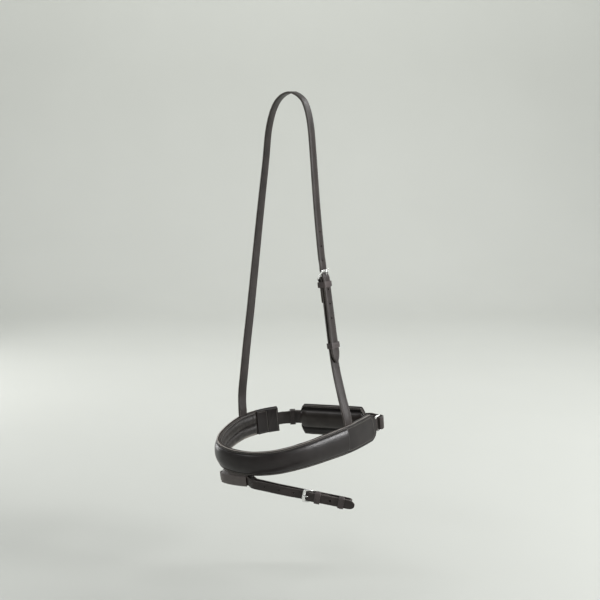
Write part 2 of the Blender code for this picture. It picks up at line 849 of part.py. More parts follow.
# Ring chape: thin leather folded round the inner bar, both ends sewn into the tab
wrap = ring_bar_radius + clearance + ring_chape_thickness / 2
layer = ring_chape_thickness / 2 + clearance / 2
tail_places = [mark - nose_length for mark in stations(nose_length - ring_chape_tail, nose_length)]
nodes = [(x, layer) for x in tail_places] + [(ring_bar_x - wrap * 1.1, wrap * 0.72)]
folded = [(x, -z) for x, z in reversed(nodes)]
nodes += [
    (ring_bar_x + wrap * math.cos(math.radians(turn)), wrap * math.sin(math.radians(turn)))
    for turn in (112, 80, 40, 0, -40, -80, -112)
]
nodes += folded
strap(
    "near_ring_chape",
    lambda x, a, z: band_place(nose_length + x, a, ring_z + z),
    [(x, z, ring_chape_thickness, ring_chape_width) for x, z in nodes],
)

# Headpiece route: off cheek pocket, over the poll, near cheek pocket
poll = sliphead_thickness / 2


def pocket_point(s, drop):
    return band_place(s, half_height(s) - drop, middle_line)


off_points = [pocket_point(off_strap_s, pocket_depth), pocket_point(off_strap_s, pocket_depth * 0.4),
              pocket_point(off_strap_s, -pocket_depth * 0.3)]
off_out = nose.out(off_strap_s)
near_points = [pocket_point(near_strap_s, -pocket_depth * 0.3),
               pocket_point(near_strap_s, pocket_depth * 0.4), pocket_point(near_strap_s, pocket_depth)]
near_out = nose.out(near_strap_s)
off_foot_y = off_points[-1].y
near_foot_y = near_points[0].y


def leg_point(x_share, z_share, foot_y):
    """A point of a leg. The leg leaves the arch's plane only near its foot."""
    lean = max(0.0, (-z_share - 0.6) / 0.4) ** 2
    return Vector((x_share * arch_reach, foot_y * lean, z_share * hang_drop))


poll_left = Vector((-poll_flat_length / 2, 0, poll))
poll_right = Vector((poll_flat_length / 2, 0, poll))
off_line = spline(
    off_points + [leg_point(x, z, off_foot_y) for x, z in reversed(off_leg_shares)] + [poll_left])
near_line = spline(
    [poll_right] + [leg_point(x, z, near_foot_y) for x, z in near_leg_shares] + near_points)
headpiece = Route(off_line + near_line, outs=None, up=None, smooth=False)
poll_s = headpiece.nearest(poll_left) + poll_flat_length / 2
headpiece.outs = [
    (0.0, off_out), (pocket_depth * 1.3, off_out),
    (headpiece.nearest(leg_point(*off_leg_shares[-4], off_foot_y)), Vector((-1, off_leg_turn_share, 0))),
    (headpiece.nearest(leg_point(*off_leg_shares[4], off_foot_y)), Vector((-1, 0, leg_lean_share))),
    (headpiece.nearest(leg_point(*off_leg_shares[1], off_foot_y)), Vector((-1, 0, arch_lean_share))),
    (poll_s - poll_flat_length / 2, Vector((0, 0, 1))), (poll_s + poll_flat_length / 2, Vector((0, 0, 1))),
    (headpiece.nearest(leg_point(*near_leg_shares[1], near_foot_y)), Vector((1, 0, arch_lean_share))),
    (headpiece.nearest(leg_point(*near_leg_shares[4], near_foot_y)),
     Vector((1, -near_leg_turn_share / 2, leg_lean_share))),
    (headpiece.nearest(leg_point(*near_leg_shares[-5], near_foot_y)), Vector((1, -near_leg_turn_share, 0))),
    (headpiece.length - pocket_depth * 1.3, near_out), (headpiece.length, near_out),
]

# Sliphead buckle, on the near side. x runs down towards the cheek
heel_s = poll_s
while headpiece.point(heel_s).z > -heel_drop:
    heel_s += route_step
top_heel_z = -(bar_radius + clearance + cheek_thickness / 2)
top_level = cheek_thickness / 2 + billet_gap + sliphead_thickness / 2
top_front_z = top_heel_z + bar_spacing * 0.64
top_local = Local(headpiece, heel_s)


def on_headpiece(x, a, z):
    return headpiece.place(heel_s + x, a, z)


top_dip = billet_dip(top_level, sliphead_thickness, top_heel_z, top_front_z)
leg_start = pocket_depth * 1.2
off_arch, near_arch = poll_s - off_arch_length, poll_s + near_arch_length
seat_start, seat_end = poll_s - poll_seat_half, poll_s + poll_seat_half
nodes = [(s - heel_s, 0.0) for s in (0.0, pocket_depth * 0.5, pocket_depth * 0.9)]
nodes += [(s - heel_s, 0.0) for s in [leg_start] + spread(leg_start, off_arch, long_step)]
nodes += [(s - heel_s, 0.0) for s in [off_arch] + spread(off_arch, seat_start, arch_step)]
nodes += [(s - heel_s, 0.0) for s in (seat_start, seat_end)]
nodes += [(s - heel_s, 0.0) for s in spread(seat_end, near_arch, arch_step)]
nodes += [(s - heel_s, 0.0) for s in [near_arch] + spread(near_arch, heel_s - bar_spacing * 3, long_step)]
nodes += [(-bar_spacing * 3, 0.0), (-bar_spacing * 2.4, (top_dip[0][1]) * 0.5)]
nodes += top_dip
level_end = sliphead_tail - sliphead_tip_length
nodes += [(x, top_level) for x in spread(bar_spacing * 0.15, level_end, run_step)]
sewn_end = pocket_depth - heel_s
nodes = [
    (x, z, skived_thickness if x < sewn_end else sliphead_thickness, sliphead_width)
    for x, z in nodes
]
nodes += tip_nodes(
    sliphead_tail, sliphead_tip_length, 1, top_level, sliphead_thickness, sliphead_width, True)
sliphead = strap("sliphead_strap", on_headpiece, nodes)
hole = used_hole(top_dip, sliphead_thickness)
holes = [hole]
holes += [
    plain_hole(hole[0] - i * hole_pitch, 0.0, sliphead_thickness + clearance)
    for i in range(1, holes_above + 1)
]
holes += [
    plain_hole(hole[0] + i * hole_pitch, top_level, sliphead_thickness)
    for i in range(1, holes_below + 1)
]
cut(sliphead, hole_cutter("sliphead_holes", on_headpiece, holes))

# Near cheek strap: folded round the heel bar, its other end sewn into the near cheek
nodes = turned_back_nodes(top_heel_z, cheek_thickness, sliphead_width, cheek_turnback, True)
nodes += fold_nodes(top_heel_z, cheek_thickness, sliphead_width, True)
cheek_end = headpiece.length - heel_s
bend = cheek_end - pocket_depth * 1.3
nodes += [(x, 0.0, cheek_thickness, sliphead_width) for x in spread(0.0, bend, run_step)]
nodes.append((bend, 0.0, cheek_thickness, sliphead_width))
nodes += [
    (x, 0.0, skived_thickness, sliphead_width)
    for x in (cheek_end - pocket_depth, cheek_end - pocket_depth * 0.5, cheek_end)
]
cheek = strap("near_cheek_strap", on_headpiece, nodes)
slot_half = prong_radius + prong_slot_clearance
fold_reach = bar_radius + clearance + fold_thickness


def prong_slot(name, local, heel_z, depth):
    reach = bar_radius + clearance + prong_radius * 2 + clearance
    return block_cutter(
        name, local.place, -fold_reach - cut_overrun, reach, -slot_half, slot_half,
        heel_z - depth, heel_z + depth,
    )


slot_depth = fold_reach + cheek_thickness + cut_overrun
cut(cheek, prong_slot("sliphead_prong_slot", top_local, top_heel_z, slot_depth))
buckle_frame("sliphead_buckle_frame", top_local, top_heel_z, top_front_z, sliphead_width)
buckle_prong("sliphead_buckle_prong", top_local, top_heel_z, top_front_z)
stack_low = -(cheek_thickness / 2 + clearance + turned_back_thickness)
fold_low = stack_low - (keeper_start < turned_back_run_in) * turned_back_thickness
keeper(
    "sliphead_fixed_keeper", top_local, keeper_start, sliphead_width / 2, fold_low,
    top_level + sliphead_thickness / 2,
)
slider_local = Local(headpiece, heel_s + sliphead_slider_place)
keeper(
    "sliphead_sliding_keeper", slider_local, -keeper_width / 2, sliphead_width / 2,
    -cheek_thickness / 2, top_level + sliphead_thickness / 2, slider_local.origin,
)

# Crank strap: from the off tab behind the chin pad. s runs from the tab's inside to the near side
tab_points = [nose.place(s, 0, tongue_z) for s in (crank_tongue, crank_tongue * 0.5, 0.0)]
pad_start = in_band(*pad_start_shares) - band_up * pad_start_drop
pad_end_guide = in_band(*pad_end_shares)
pad_direction = (pad_end_guide - pad_start).normalized()
pad_end = pad_start + pad_direction * pad_length
pad_out = band_up.cross(pad_direction).normalized()
# the strap lies outside the pad's backing
strap_on_pad = crank_thickness / 2 + clearance
chin_line = spline(
    tab_points + [in_band(x, y) - band_up * pad_start_drop * drop for x, y, drop in crank_line_shares]
    + [pad_start - pad_direction * pad_end_bulge * 2, pad_start])
chin = Route(chin_line + [pad_end + pad_direction * pad_end_bulge], smooth=False)
pad_s = chin.nearest(pad_start)
tab_out_s = crank_tongue
chin.outs = [
    (0.0, nose.out(crank_tongue)), (tab_out_s, nose.out(0.0)), (pad_s, pad_out), (chin.length, pad_out)]
pad_local = Local(chin, pad_s + pad_end_bulge)
pad_local.origin = pad_start
pad_upward = 1 if pad_local.place(0, pad_height, 0).z > pad_start.z else -1
crank_heel_s = pad_s + crank_heel_place
crank_heel_z = bar_radius + clearance + crank_thickness / 2
crank_local = Local(chin, crank_heel_s, forward=False)


def on_crank(x, a, z):
    return crank_local.place(x, a, z) if x < crank_heel_place else chin.place(
        crank_heel_s - x, -a, z)


base_end = crank_heel_s
nodes = [(base_end, 0.0), (base_end - crank_tongue * 0.5, 0.0), (base_end - crank_tongue, 0.0)]
nodes += [(x, 0.0) for x in spread(base_end - crank_tongue, crank_heel_place, chin_step)]
nodes += [(crank_heel_place, 0.0), (crank_heel_place * 0.6, 0.0), (crank_turnback * 0.5, 0.0)]
nodes = [(x, z, crank_thickness, crank_width) for x, z in nodes]
nodes += list(reversed(fold_nodes(crank_heel_z, crank_thickness, crank_width, False)))
nodes += list(reversed(turned_back_nodes(
    crank_heel_z, crank_thickness, crank_width, crank_turnback, False)))
crank_base = strap("crank_base_strap", on_crank, nodes)
crank_slot_depth = fold_reach + crank_thickness + cut_overrun
cut(crank_base, prong_slot("crank_prong_slot", crank_local, crank_heel_z, crank_slot_depth))

# Crank billet: root on the pad, out to the ring, round its outer bar and back over the buckle
crank_over = crank_heel_z + bar_radius + clearance * 2 + turned_back_thickness + crank_thickness / 2
crank_level = crank_thickness / 2 + clearance * 2 + turned_back_thickness + crank_thickness / 2
crank_tail_level = crank_thickness + clearance * 2.5
crank_under = crank_thickness + clearance * 2
crank_front_z = crank_under + crank_thickness * 0.66 + clearance + front_bar_thickness / 2
ring_bar = ring_local.place(ring_bar_x + ring_spacing, 0, ring_z)
turn_radius = ring_bar_radius + fold_room + crank_thickness / 2
ring_back = -ring_local.x
ring_in = -ring_local.z
fold_points = [
    ring_bar + (ring_in * math.cos(math.radians(turn)) + ring_back * math.sin(math.radians(turn))) * turn_radius
    for turn in (72, 95, 125, 160, 195, 230, 262)
]
crank_dip = [
    (-bar_spacing * 1.75, crank_under), (-bar_spacing * 1.30, crank_under), (-bar_spacing, crank_under),
    (-bar_spacing * 0.78, crank_under + (crank_over - crank_under) * 0.17),
    (-bar_spacing * 0.56, crank_under + (crank_over - crank_under) * 0.44),
    (-bar_spacing * 0.34, crank_under + (crank_over - crank_under) * 0.72),
    (-bar_spacing * 0.12, crank_under + (crank_over - crank_under) * 0.94),
    (bar_spacing * 0.20, crank_over), (bar_spacing * 0.50, crank_over - (crank_over - crank_level) * 0.35),
    (bar_spacing * 0.80, crank_over - (crank_over - crank_level) * 0.80), (bar_spacing * 1.15, crank_level),
    (crank_turnback, crank_level),
    (crank_turnback + bar_spacing * 0.5, (crank_level + crank_tail_level) / 2),
    (crank_turnback + bar_spacing, crank_tail_level),
]
root_x = -crank_root_gap
pad_near_x = -(pad_length - crank_heel_place)
billet_points = [crank_local.place(root_x, 0, 0), crank_local.place((root_x + pad_near_x) / 2, 0, 0),
                 crank_local.place(pad_near_x - pad_end_bulge, 0, 0)]
billet_points += [in_band(x, y) for x, y in billet_out_shares]
billet_points += fold_points
billet_points += [in_band(x, y) for x, y in billet_back_shares]
billet_points += [crank_local.place(pad_near_x * 0.85, 0, crank_under + clearance),
                  crank_local.place(-bar_spacing * 2.4, 0, crank_under)]
billet_points += [crank_local.place(x, 0, z) for x, z in crank_dip]
tip_x = crank_billet_past
for share in (0.44, 0.51, 0.58, 0.65, 0.72, 0.79, 0.86, 0.93, 1.0):
    billet_points.append(on_crank(tip_x * share, 0, crank_tail_level))
billet_route = Route(billet_points, up=-band_up)
billet_dip_s = [billet_route.nearest(crank_local.place(x, 0, z)) for x, z in crank_dip]
fold_s = [billet_route.nearest(point) for point in fold_points]
b_end = billet_route.length
billet_places = [0.0] + spread(0.0, fold_s[0], chin_step) + fold_s
billet_places += spread(fold_s[-1], billet_dip_s[0], chin_step) + billet_dip_s
billet_places += spread(billet_dip_s[-1], b_end - crank_tip_length, chin_step)
nodes = [(s, 0.0, crank_thickness, crank_width) for s in billet_places]
nodes += tip_nodes(b_end, crank_tip_length, 1, 0.0, crank_thickness, crank_width, False)
billet = strap("crank_billet", billet_route.place, nodes)
hole_s = (billet_dip_s[4] + billet_dip_s[5]) / 2
holes = [(hole_s, 0.0, 0.0, used_hole_length, used_hole_width, crank_thickness / 2 + cut_overrun)]
holes += [plain_hole(hole_s + i * hole_pitch, 0.0, crank_thickness) for i in (1, 2, 3, -1)]
cut(billet, hole_cutter("crank_holes", billet_route.place, holes))
buckle_frame("crank_buckle_frame", crank_local, crank_heel_z, crank_front_z, crank_width)
buckle_prong("crank_buckle_prong", crank_local, crank_heel_z, crank_front_z)
keeper(
    "crank_fixed_keeper", crank_local, crank_keeper_start, crank_width / 2,
    -crank_thickness / 2, crank_level + crank_thickness / 2,
)
crank_slider_s = crank_heel_s - crank_slider_place
crank_slider_local = Local(chin, crank_slider_s, forward=False)
keeper(
    "crank_sliding_keeper", crank_slider_local, -keeper_width / 2, crank_width / 2,
    -crank_thickness / 2 - clearance * 2, crank_tail_level + crank_thickness / 2 + clearance * 2,
    crank_slider_local.origin,
)

# Chin pad: backing against the strap, foam, and a face with a middle roll between two grooves
backing_top = -crank_thickness / 2 - clearance
backing_low = backing_top - pad_backing
foam_top = backing_low - clearance
foam_low = foam_top - pad_foam_depth
face_low = foam_low - clearance - pad_face


def pad_outline(x):
    """Half the pad's height at x: bulging ends with rounded corners."""
    distance = min(x + pad_end_bulge, pad_length + pad_end_bulge - x) / pad_end_bulge
    if distance >= 1:
        corner = min(1.0, (distance - 1) * 0.5)
        return pad_height / 2 * (pad_end_corner_share + (1 - pad_end_corner_share) * corner ** 0.5)
    return pad_height / 2 * pad_end_corner_share * max(distance, 0.0) ** 0.45 * 0.98 + clearance


pad_stations_shares = (0.0, 0.012, 0.03, 0.055, 0.085, 0.13, 0.22, 0.36, 0.64, 0.78, 0.87, 0.915, 0.945,
                       0.97, 0.988, 1.0)
pad_total = pad_length + pad_end_bulge * 2


def pad_x(share):
    return -pad_end_bulge + pad_total * share


def pad_rings(profile):
    return [
        [pad_local.place(pad_x(share), h, z) for h, z in profile(pad_x(share), share)]
        for share in pad_stations_shares[1:-1]
    ]


def backing_profile(x, _share):
    half = pad_outline(x)
    return [(half, backing_low), (half, backing_top), (-half, backing_top), (-half, backing_low)]


def roll(share_across, x):
    """Depth of the middle roll, fading towards the pad's ends."""
    ends = min(1.0, min(x + pad_end_bulge, pad_length + pad_end_bulge - x) / (pad_end_bulge * 2.2))
    return pad_roll_rise * max(0.0, ends) ** 0.5 * max(0.0, 1 - abs(share_across) ** 2.6) ** 0.6


pad_roll_places_shares = (-1.0, -0.92, -0.70, -0.30, 0.30, 0.70, 0.92, 1.0)


def face_profile(x, _share):
    half = pad_outline(x)
    half_roll = min(pad_roll_height / 2, half * 0.62)
    flange = foam_low - clearance - pad_face
    groove = min(pad_groove_width, (half - half_roll) * 0.5)
    lift = (half - half_roll - groove) * pad_roll_lift_share
    groove_z = flange + pad_groove_depth
    low = [(-half_roll - groove, flange), (-half_roll - groove * 0.5, groove_z)]
    low += [
        (half_roll * u, flange + pad_groove_depth * (abs(u) == 1.0) - roll(u, x))
        for u in pad_roll_places_shares
    ]
    low += [(half_roll + groove * 0.5, groove_z), (half_roll + groove, flange)]
    low = [(h + lift * pad_upward, z) for h, z in low]
    return [(half, foam_low - clearance), (-half, foam_low - clearance), (-half, flange), *low, (half, flange)]


def foam_profile(x, _share):
    half = max(pad_outline(x) - clearance * 3, clearance)
    return [(half, foam_low), (half, foam_top), (-half, foam_top), (-half, foam_low)]


backing = loft("chin_pad_backing", pad_rings(backing_profile), "leather")
groove_half = keeper_width / 2 + clearance
groove_x = crank_heel_place - crank_keeper_start - keeper_width / 2
groove_reach = crank_width / 2 + keeper_clearance + keeper_thickness + clearance
cut(backing, block_cutter(
    "keeper_groove_cutter", pad_local.place, groove_x - groove_half, groove_x + groove_half,
    -groove_reach, groove_reach, -crank_thickness / 2 - keeper_clearance - keeper_thickness - clearance,
    cut_overrun,
))
loft("chin_pad_foam_core", pad_rings(foam_profile), "foam")
loft("chin_pad_face", pad_rings(face_profile), "leather")

# Flash holder: a leather tunnel under the nose, its web going up between the band's layers
holder_s = nose_length * holder_share
holder_drop = half_height(holder_s) + holder_hang + clearance + holder_wall + keeper_clearance + flash_width / 2
holder_s1 = holder_s - holder_length / 2
holder_s2 = holder_s + holder_length / 2


def left_end_share(s):
    """0 at the holder's right end, 1 at its left end."""
    return max(0.0, (holder_s2 - s) / holder_length) ** 1.5


def in_holder(s, h, z, place):
    """A point of the tunnel, h and z from its middle. It hangs lower and stands out to the left."""
    left = left_end_share(s)
    return place(s, h - holder_drop - holder_sag * left, hold_z + z + holder_flare * left)


hold_z = middle_line
hold_half_h = flash_width / 2 + keeper_clearance
hold_half_z = flash_thickness / 2 + keeper_clearance * 2.2
web_half = holder_web / 2
rings_out, rings_in = [], []
wall_h, wall_z = hold_half_h + holder_wall, hold_half_z + holder_wall
shoulder = wall_h - holder_wall * 0.3
for s in stations(holder_s1, holder_s2):
    left = left_end_share(s)
    web_foot = holder_drop + holder_sag * left - half_height(s) - clearance
    web_top = web_foot + clearance + holder_web_reach
    web_z = -holder_flare * left
    inside = [(-hold_half_h, -hold_half_z), (hold_half_h, -hold_half_z), (hold_half_h, hold_half_z),
              (-hold_half_h, hold_half_z)]
    outside = [(-wall_h, -wall_z), (shoulder, -wall_z), (wall_h, -web_half), (web_foot, web_z - web_half),
               (web_top, web_z - web_half), (web_top, web_z + web_half), (web_foot, web_z + web_half),
               (wall_h, web_half), (shoulder, wall_z), (-wall_h, wall_z)]
    rings_in.append([in_holder(s, h, z, band_place) for h, z in inside])
    rings_out.append([in_holder(s, h, z, band_place) for h, z in outside])
holder = loft("flash_holder", rings_out, "leather")
first_in, last_in = [
    [in_holder(s, h, z, nose.place) for h, z in inside]
    for s in (holder_s1 - cut_overrun, holder_s2 + cut_overrun)
]
cut(holder, loft("holder_tunnel_cutter", [first_in] + rings_in + [last_in], "edge"))
web_reach = holder_web_reach - half_height(holder_s)
cut(middle, band_cutter(
    "holder_web_cutter", holder_s1 - clearance, holder_s2 + clearance,
    -half_height(holder_s) - cut_overrun, web_reach + clearance,
    middle_bottom - cut_overrun, middle_top + cut_overrun,
))

# Flash route: through the holder and on along the front run
tunnel_places = [holder_s1 + holder_length * share for share in (-0.02, 0.2, 0.4, 0.6, 0.8, 1.0)]
tunnel = [in_holder(s, 0, 0, nose.place) for s in tunnel_places]
front_run = [
    Vector((x * band_half_width, y * band_depth, z * hang_drop)) for x, y, z in flash_line_shares
]
tunnel_outs = [nose.out(s) for s in tunnel_places]
flash_points = tunnel + front_run
flash = Route(flash_points, outs=None)
run_end = (flash_points[-1] - flash_points[-3]).normalized()
run_out = run_end.cross(Vector((0, 0, 1))).normalized()
flash.outs = [(flash.nearest(p), out) for p, out in zip(tunnel, tunnel_outs)]
flash.outs += [
    (flash.nearest(front_run[i]), (front_run[i + 1] - front_run[i - 1]).normalized().cross(
        Vector((0, 0, 1))).normalized())
    for i in range(1, len(front_run) - 1)
]
flash.outs.append((flash.length, run_out))
flash_mid_s = flash.nearest(in_holder(holder_s, 0, 0, nose.place))
flash_heel_s = flash_mid_s + flash_heel_place
flash_heel_z = -(bar_radius + clearance + flash_thickness / 2)
flash_level = flash_thickness + clearance
flash_front_z = flash_heel_z + bar_spacing * 0.42
flash_local = Local(flash, flash_heel_s)


def on_flash(x, a, z):
    return flash.place(flash_heel_s + x, a, z)


left_x = -flash_heel_place - holder_length / 2 - flash_left_overhang
back_z = -flash_layer_gap
bend_r = flash_layer_gap / 2
t, w = flash_thickness, flash_width
flash_dip = billet_dip(flash_level, flash_thickness, flash_heel_z, flash_front_z)
nodes = turned_back_nodes(flash_heel_z, t, w, flash_turnback, True)
nodes += fold_nodes(flash_heel_z, t, w, True)
nodes += [(x, 0.0, t, w) for x in spread(0.0, flash_bend_place, tail_step)]
nodes += [
    (flash_bend_place + bend_r * math.cos(math.radians(turn)), back_z / 2 + bend_r * math.sin(math.radians(turn)), t, w)
    for turn in (90, 50, 15, -15, -50, -90)
]
nodes += [(x, back_z, t, w) for x in spread(
    flash_bend_place, -flash_heel_place + holder_length * 0.63, run_step)]
behind = -hold_half_z - holder_wall - clearance * 2 - t / 2
nodes += [(x, min(back_z, behind), t, w) for x in (-flash_heel_place + holder_length / 2, -flash_heel_place)]
left_r = -min(back_z, behind) / 2
nodes += [(-flash_heel_place - holder_length / 2, -left_r * 2, t, w)]
nodes += [
    (left_x + left_r * math.cos(math.radians(turn)), -left_r + left_r * math.sin(math.radians(turn)), t, w)
    for turn in (-110, -150, -180, -210, -250)
]
nodes += [(-flash_heel_place + holder_length * share, 0.0, t, w) for share in (-0.5, -0.25, 0.0, 0.25, 0.5)]
nodes += [(x, 0.0, t, w) for x in spread(-flash_heel_place + holder_length / 2, -bar_spacing * 3, tail_step)]
nodes += [(-bar_spacing * 3, 0.0, t, w), (-bar_spacing * 2.4, flash_dip[0][1] * 0.5, t, w)]
nodes += [(x, z, t, w) for x, z in flash_dip]
nodes += [(x, flash_level, t, w) for x in spread(bar_spacing * 0.15, flash_tail - flash_tip_length, run_step)]
nodes += tip_nodes(flash_tail, flash_tip_length, 1, flash_level, t, w, False)
flash_strap = strap("flash_strap", on_flash, nodes)
hole = used_hole(flash_dip, t)
holes = [hole]
holes += [plain_hole(hole[0] - i * hole_pitch, 0.0, t + clearance) for i in (1, 2, 3, 4)]
holes += [plain_hole(hole[0] + hole_pitch * 1.5, flash_level, t)]
holes = [h if i == 0 or h[0] > 0 else (h[0], h[1], h[2], h[3], h[4], t / 2 + clearance * 3) for i, h in enumerate(holes)]
cut(flash_strap, hole_cutter("flash_holes", on_flash, holes))
cut(flash_strap, prong_slot("flash_prong_slot", flash_local, flash_heel_z, fold_reach + clearance * 2))
buckle_frame("flash_buckle_frame", flash_local, flash_heel_z, flash_front_z, flash_width)
buckle_prong("flash_buckle_prong", flash_local, flash_heel_z, flash_front_z)
stack_low = -(flash_thickness / 2 + clearance + turned_back_thickness)
keeper(
    "flash_fixed_keeper", flash_local, keeper_start, flash_width / 2, stack_low - turned_back_thickness,
    flash_level + flash_thickness / 2,
)
flash_slider_local = Local(flash, flash_heel_s + flash_slider_place)
keeper(
    "flash_sliding_keeper", flash_slider_local, -keeper_width / 2, flash_width / 2,
    -flash_thickness / 2, flash_level + flash_thickness / 2, flash_slider_local.origin,
)
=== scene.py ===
"""Looks of the padded crank noseband: leather, lining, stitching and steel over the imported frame.

Metres, +Z up, in the frame of the CAD model. Straps are swept along the same routes as there.
"""

import math

import bmesh
import bpy
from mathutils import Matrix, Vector, noise


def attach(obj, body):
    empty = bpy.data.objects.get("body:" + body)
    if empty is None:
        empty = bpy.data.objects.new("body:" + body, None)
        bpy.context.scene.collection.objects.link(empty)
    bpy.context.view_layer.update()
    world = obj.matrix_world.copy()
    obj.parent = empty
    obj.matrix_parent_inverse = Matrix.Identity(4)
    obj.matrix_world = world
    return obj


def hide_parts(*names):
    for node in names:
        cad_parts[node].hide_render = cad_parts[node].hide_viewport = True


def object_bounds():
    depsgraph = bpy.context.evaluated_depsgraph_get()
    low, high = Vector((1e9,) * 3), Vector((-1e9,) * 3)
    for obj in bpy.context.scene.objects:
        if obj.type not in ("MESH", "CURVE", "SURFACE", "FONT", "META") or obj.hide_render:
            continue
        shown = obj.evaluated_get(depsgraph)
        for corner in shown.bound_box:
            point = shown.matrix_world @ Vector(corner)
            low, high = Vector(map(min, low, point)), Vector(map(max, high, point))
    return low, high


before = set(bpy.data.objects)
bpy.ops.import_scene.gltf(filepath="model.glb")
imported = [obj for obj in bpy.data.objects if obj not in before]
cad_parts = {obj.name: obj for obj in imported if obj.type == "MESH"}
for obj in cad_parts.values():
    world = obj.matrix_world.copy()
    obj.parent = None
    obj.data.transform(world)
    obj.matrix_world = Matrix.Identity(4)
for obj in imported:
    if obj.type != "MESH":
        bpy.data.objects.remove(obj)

cad_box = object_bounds()

# General sizes
clearance = 0.0003  # gap kept between pieces that touch
strap_edge = 0.0005  # bevel along every strap edge
cut_overrun = 0.002  # how far a cutter passes the leather it cuts
route_step = 0.0005  # fineness of the smooth routes
tangent_reach = 0.0004  # half the distance over which a route's direction is read
long_step = 0.024  # distances between cross-sections, on straight and on bent runs
run_step = 0.016
tail_step = 0.012
chin_step = 0.008
arch_step = 0.0065

# Sliphead and near cheek strap
sliphead_width = 0.0160
sliphead_thickness = 0.0030
cheek_thickness = 0.0028
billet_gap = 0.0013  # air between the sliphead's end and the cheek strap under it
hang_drop = 0.500  # poll to the middle plane of the band
arch_reach = 0.100  # the arch table's sideways unit
poll_flat_length = 0.008  # straight piece over the poll
poll_seat_half = 0.0035  # half the length of the flat seat under the poll
off_arch_length = 0.150  # bent part of the sliphead on each side of the poll
near_arch_length = 0.080
heel_drop = 0.2635  # poll down to the sliphead buckle's heel bar
sliphead_tail = 0.1235  # heel bar to the tip of the sliphead
sliphead_tip_length = 0.014
sliphead_slider_place = 0.098  # heel bar to the middle of the sliding keeper
cheek_turnback = 0.0345  # length of leather folded back behind the buckle

# Holes
hole_pitch = 0.021
hole_diameter = 0.0030
used_hole_length = 0.0052
used_hole_width = 0.0026
holes_above = 3
holes_below = 3
flash_holes_above = 4

# Buckles: wire, prong and leather round the heel bar
bar_radius = 0.0012
side_bar_radius = 0.0012
front_bar_width = 0.0040
front_bar_thickness = 0.0018
bar_spacing = 0.0104
sliphead_frame_rise = 0.64  # heel bar up to the front bar, as a share of bar_spacing
flash_frame_rise = 0.42
prong_radius = 0.00075
prong_slot_clearance = 0.00045
fold_thickness = 0.0017
turned_back_thickness = 0.0016
turned_back_run_in = 0.0075  # length over which the folded layer comes up to the strap
frame_side_clearance = 0.0006
frame_corner = 0.0023

# Keepers
keeper_width = 0.0082
keeper_thickness = 0.0014
keeper_start = 0.0045  # heel bar to the near edge of a fixed keeper
keeper_clearance = 0.0004
keeper_corner = 0.0012

# Band: the nosepiece and its layers
band_tilt_deg = 9.1  # the nose hangs lower than the chin
band_half_width = 0.100
band_depth = 0.120
nose_height = 0.036
tab_height = 0.043
off_tab_height = 0.039
outer_leather = 0.0020
crown_rise = 0.0046
crown_height_share = 0.80
crown_setback = 0.045  # tab end to the end of the padded crown
crown_fade = 0.016
middle_thickness = 0.0028
lining_setback = 0.035
lining_edge = 0.0018
lining_roll = 0.0042
lining_inset = 0.0008
off_strap_place = 0.059  # off tab end to the sliphead sewn into the cheek
near_strap_place = 0.0585
near_tab_extra = 0.0095  # how much longer the near tab is than the off tab
pocket_depth = 0.022

# Tabs
facing_thickness = 0.0017
sewn_end_length = 0.0165
sewn_end_rise = 0.0012
crank_tongue = 0.026  # length of crank strap sewn into the off tab
skived_thickness = 0.0020  # straps thinned where they are sewn between the band's layers
near_tab_round = 0.017  # length over which the near tab's end is rounded
ring_bar_radius = 0.0015
ring_spacing = 0.0100
ring_window = 0.0206
ring_corner = 0.0022
ring_setout = 0.0036  # tab end to the ring's inner bar
ring_chape_width = 0.0185
ring_chape_thickness = 0.0011
ring_chape_tail = 0.024

# Crank strap and chin pad
crank_width = 0.020
crank_thickness = 0.0024
fold_room = 0.0012  # loose room round the ring's outer bar
pad_length = 0.094
pad_height = 0.047
pad_face = 0.0020
pad_foam_depth = 0.0030
pad_roll_rise = 0.0060
pad_roll_height = 0.029
pad_groove_width = 0.0036
pad_groove_depth = 0.0016
pad_backing = 0.0026
pad_end_bulge = 0.006
pad_end_corner_share = 0.98
pad_roll_lift_share = 0.5  # how far the roll sits above the middle, of the upper rim's width
pad_start_drop = 0.0017  # how much lower the pad's off end hangs than the band's plane
crank_heel_place = 0.055  # pad's off end to the crank buckle's heel bar
crank_turnback = 0.024
crank_billet_past = 0.088  # heel bar to the tip of the billet
crank_tip_length = 0.010
crank_keeper_start = 0.011  # heel bar to the near edge of the crank's fixed keeper
crank_root_gap = 0.0135  # heel bar to the root of the billet
crank_slider_place = 0.0765  # heel bar to the middle of the sliding keeper

# Flash strap and its holder
flash_width = 0.0127
flash_thickness = 0.0024
flash_heel_place = 0.1284  # holder's middle to the flash buckle's heel bar
flash_tail = 0.0615  # heel bar to the strap's round tip
flash_tip_length = 0.008
flash_bend_place = 0.0515  # heel bar to where the strap turns back
flash_layer_gap = 0.0086  # front run to back run
flash_turnback = 0.024
flash_slider_place = 0.0425
flash_left_overhang = 0.0048  # holder's end to the left bend
holder_length = 0.046
holder_wall = 0.0012
holder_web = 0.0022
holder_hang = 0.0022  # from the band's lower edge to the tunnel's top
holder_sag = 0.0034  # how much lower the tunnel hangs at its left end
holder_flare = 0.0036  # how far its left end stands out from the band's curve
holder_web_reach = 0.010  # how far the web goes up between the layers
holder_share = 0.4345  # place of the holder's middle along the nosepiece

